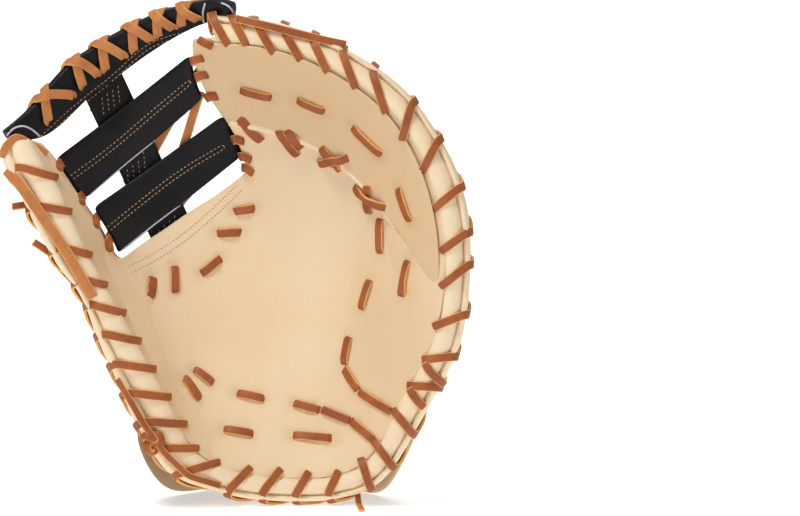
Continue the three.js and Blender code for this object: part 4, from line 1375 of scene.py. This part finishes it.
place, look = lie(157, 398, behind_hide, -1)
clear_choice()
bpy.ops.mesh.primitive_uv_sphere_add(segments=32, ring_count=12, radius=1)
patch = bpy.context.object
patch.name = "thumb_oval_patch"
side_way = UP.cross(look).normalized()
up_way = look.cross(side_way).normalized()
for v in patch.data.vertices:
    x, y, z = v.co
    v.co = place + side_way * x * 0.0105 + up_way * y * 0.0125 + look * (0.0002 + z * 0.0013)
patch.data.materials.append(black)
bpy.ops.object.shade_smooth()
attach(patch, "root")
ring = [place + side_way * 0.0105 * math.cos(a / 20 * math.pi) + up_way * 0.0125 * math.sin(a / 20 * math.pi) + look * 0.0004 for a in range(40)]
patch_edge = piping("patch_edge", ring + [ring[0]], 0.0007, tan_thread)

low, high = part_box("wrist_label")
label_tree = surface_of(label)
label_x = [235 + (x + CENTRE.x) * 467 / FACE_WIDTH for x in (low.x, high.x)]

# The wrist hole's lining is held by four short laces, and the strap's end by a crossed one
hole_tree = surface_of(lining)
hole_dashes = []
for i, ((ax, ay), (bx, by)) in enumerate((((352, 396), (337, 398)), ((322, 396), (306, 398)), ((291, 398), (276, 397)), ((261, 397), (247, 394)))):
    spots = [lie(ax + (bx - ax) * t, ay + (by - ay) * t, hole_tree, -1) for t in (0, 0.07, 0.25, 0.5, 0.75, 0.93, 1)]
    if all(p is not None for p, _ in spots):
        lifts = (-0.0016, 0.0002, 0.0012, 0.0014, 0.0012, 0.0002, -0.0016)
        hole_dashes.append(lay_lace(f"h{i}", [(p + n * d, n) for (p, n), d in zip(spots, lifts)], face=lace_bright, spans=3, taper=0.22))
for i, (a, b, extra) in enumerate((((374, 436), (357, 470), 0), ((356, 438), (375, 468), 0.0018))):
    stops = route_over([a, ((a[0] + b[0]) / 2, (a[1] + b[1]) / 2), b], behind_hide, -1, 0.0024 + extra, 0.001)
    hole_dashes.append(lay_lace(f"x{i}", stops, spans=2, taper=0.2))
wrist_laces = gathered("wrist_laces", hole_dashes)

# Behind the web: the bars' folds are stitched near the finger, the spine is tied with crossed lace,
# and two long strands run down from the finger to knots on the spine, with their ends hanging.
web_back = surface_of(bar_upper, bar_lower, spine, top_bar)
back_rows = long_loop([(150, 114), (170, 98), (193, 82)], 4.4) + long_loop([(184, 172), (204, 157), (226, 142)], 4.4)
for k in range(4):
    back_rows.append([(88 + k * 5, 92 - k * 4), (97 + k * 5, 112 - k * 4)])
for offset in (-7, 7):
    back_rows.append([(112 + offset, 118 - offset * 0.6), (142 + offset, 178 - offset * 0.6), (158 + offset, 214 - offset * 0.6)])
web_back_stitches = stitched("web_back_stitching", back_rows, web_back, cream_thread, side=-1, pitch=4.6, long=0.0019)
behind = surface_of(back_shell, wrist_strap, bar_upper, bar_lower, spine, top_bar, web_binding, palm_roll, back_roll,
                    thumb_lacing, finger_lacing)
spine_cross = gathered("spine_lacing", [
    lay_lace("c1", route_over([(107, 84), (92, 112)], behind, -1, sink=0.002), spans=2, taper=0.2),
    lay_lace("c2", route_over([(132, 147), (101, 129)], behind, -1, sink=0.002), spans=2, taper=0.2),
    lay_lace("c3", route_over([(114, 108), (118, 172)], behind, -1, 0.0030), spans=2, taper=0.2),
])


def back_knot(name, x, y, size=0.005, face=None):
    place, look = lie(x, y, behind, -1)
    return gathered(name, [knot(name, place + look * 0.0022, look, (UP - look * UP.dot(look)).normalized(), size, face)])


knot_1 = back_knot("web_knot_1", 134, 182, 0.0056, lace_bright)
knot_2 = back_knot("web_knot_2", 155, 226, 0.0060, lace_bright)
strand_1 = free_cord("web_strand_1", route_over([(204, 61), (170, 120), (134, 182), (115, 222), (98, 257)], behind, -1, 0.0016, 0.001), lace_bright)
strand_2 = free_cord("web_strand_2", route_over([(201, 88), (178, 160), (155, 226), (147, 280), (142, 336)], behind, -1, 0.0036, 0.001), lace_bright)
short_strand = gathered("web_short_strand", [lay_lace("k", route_over([(197, 181), (180, 201), (163, 220)], behind, -1, 0.0016), face=lace_bright, spans=2)])
thin_tail = free_cord("thin_lace_tail", route_over([(124, 303), (146, 360), (169, 422)], behind, -1, 0.0010, 0.001), lace_bright, 0.0026)
knot_3 = back_knot("thumb_side_knot", 74, 196, 0.0046)
knot_4 = back_knot("finger_back_knot", 318, 98, 0.005)
finger_tail = free_cord("finger_back_tail", route_over([(318, 98), (342, 132), (366, 168)], behind, -1, 0.0014, 0.001), lace_hide, 0.005)
finger_laces = gathered("finger_back_laces", [
    lay_lace("f1", route_over([(262, 38), (284, 62)], behind, -1, 0.0013, 0.002), spans=2, taper=0.2),
    lay_lace("f2", route_over([(284, 62), (276, 84)], behind, -1, 0.0013, 0.002), spans=2, taper=0.2),
    lay_lace("f3", route_over([(276, 84), (314, 96)], behind, -1, 0.0013, 0.002), spans=2, taper=0.2),
])

# At the heel's thumb side the lace ends in a knot on the rim's edge; another end lies under the heel
side_tree = surface_of(back_shell, wrist_strap, palm_roll, back_roll, thumb_lacing)
place, look = lie(153, 441, side_tree, 1)
heel_knot = gathered("heel_knot", [knot("heel_knot", place + look * 0.0022, look, (UP - look * UP.dot(look)).normalized(), 0.0062)])
heel_lace = free_cord(
    "heel_side_lace", route_over([(118, 379), (133, 403), (149, 432), (165, 453), (184, 474), (204, 483), (219, 485)], side_tree, 1, 0.0026, 0.001),
    lace_hide, 0.0040,
)
base, _ = lie(357, 486, surface_of(back_roll, thumb_lacing), 1)
floor_stops = []
for i in range(17):
    t = i / 16
    floor_stops.append((Vector((base.x + 0.003 * t, base.y + 0.004 - 0.036 * t, 0.0009 + 0.0045 * (1 - smooth_share(0, 0.4, t)))), Vector((0, 0, 1))))
heel_tail = free_cord("heel_floor_tail", floor_stops, lace_bright, 0.0036)
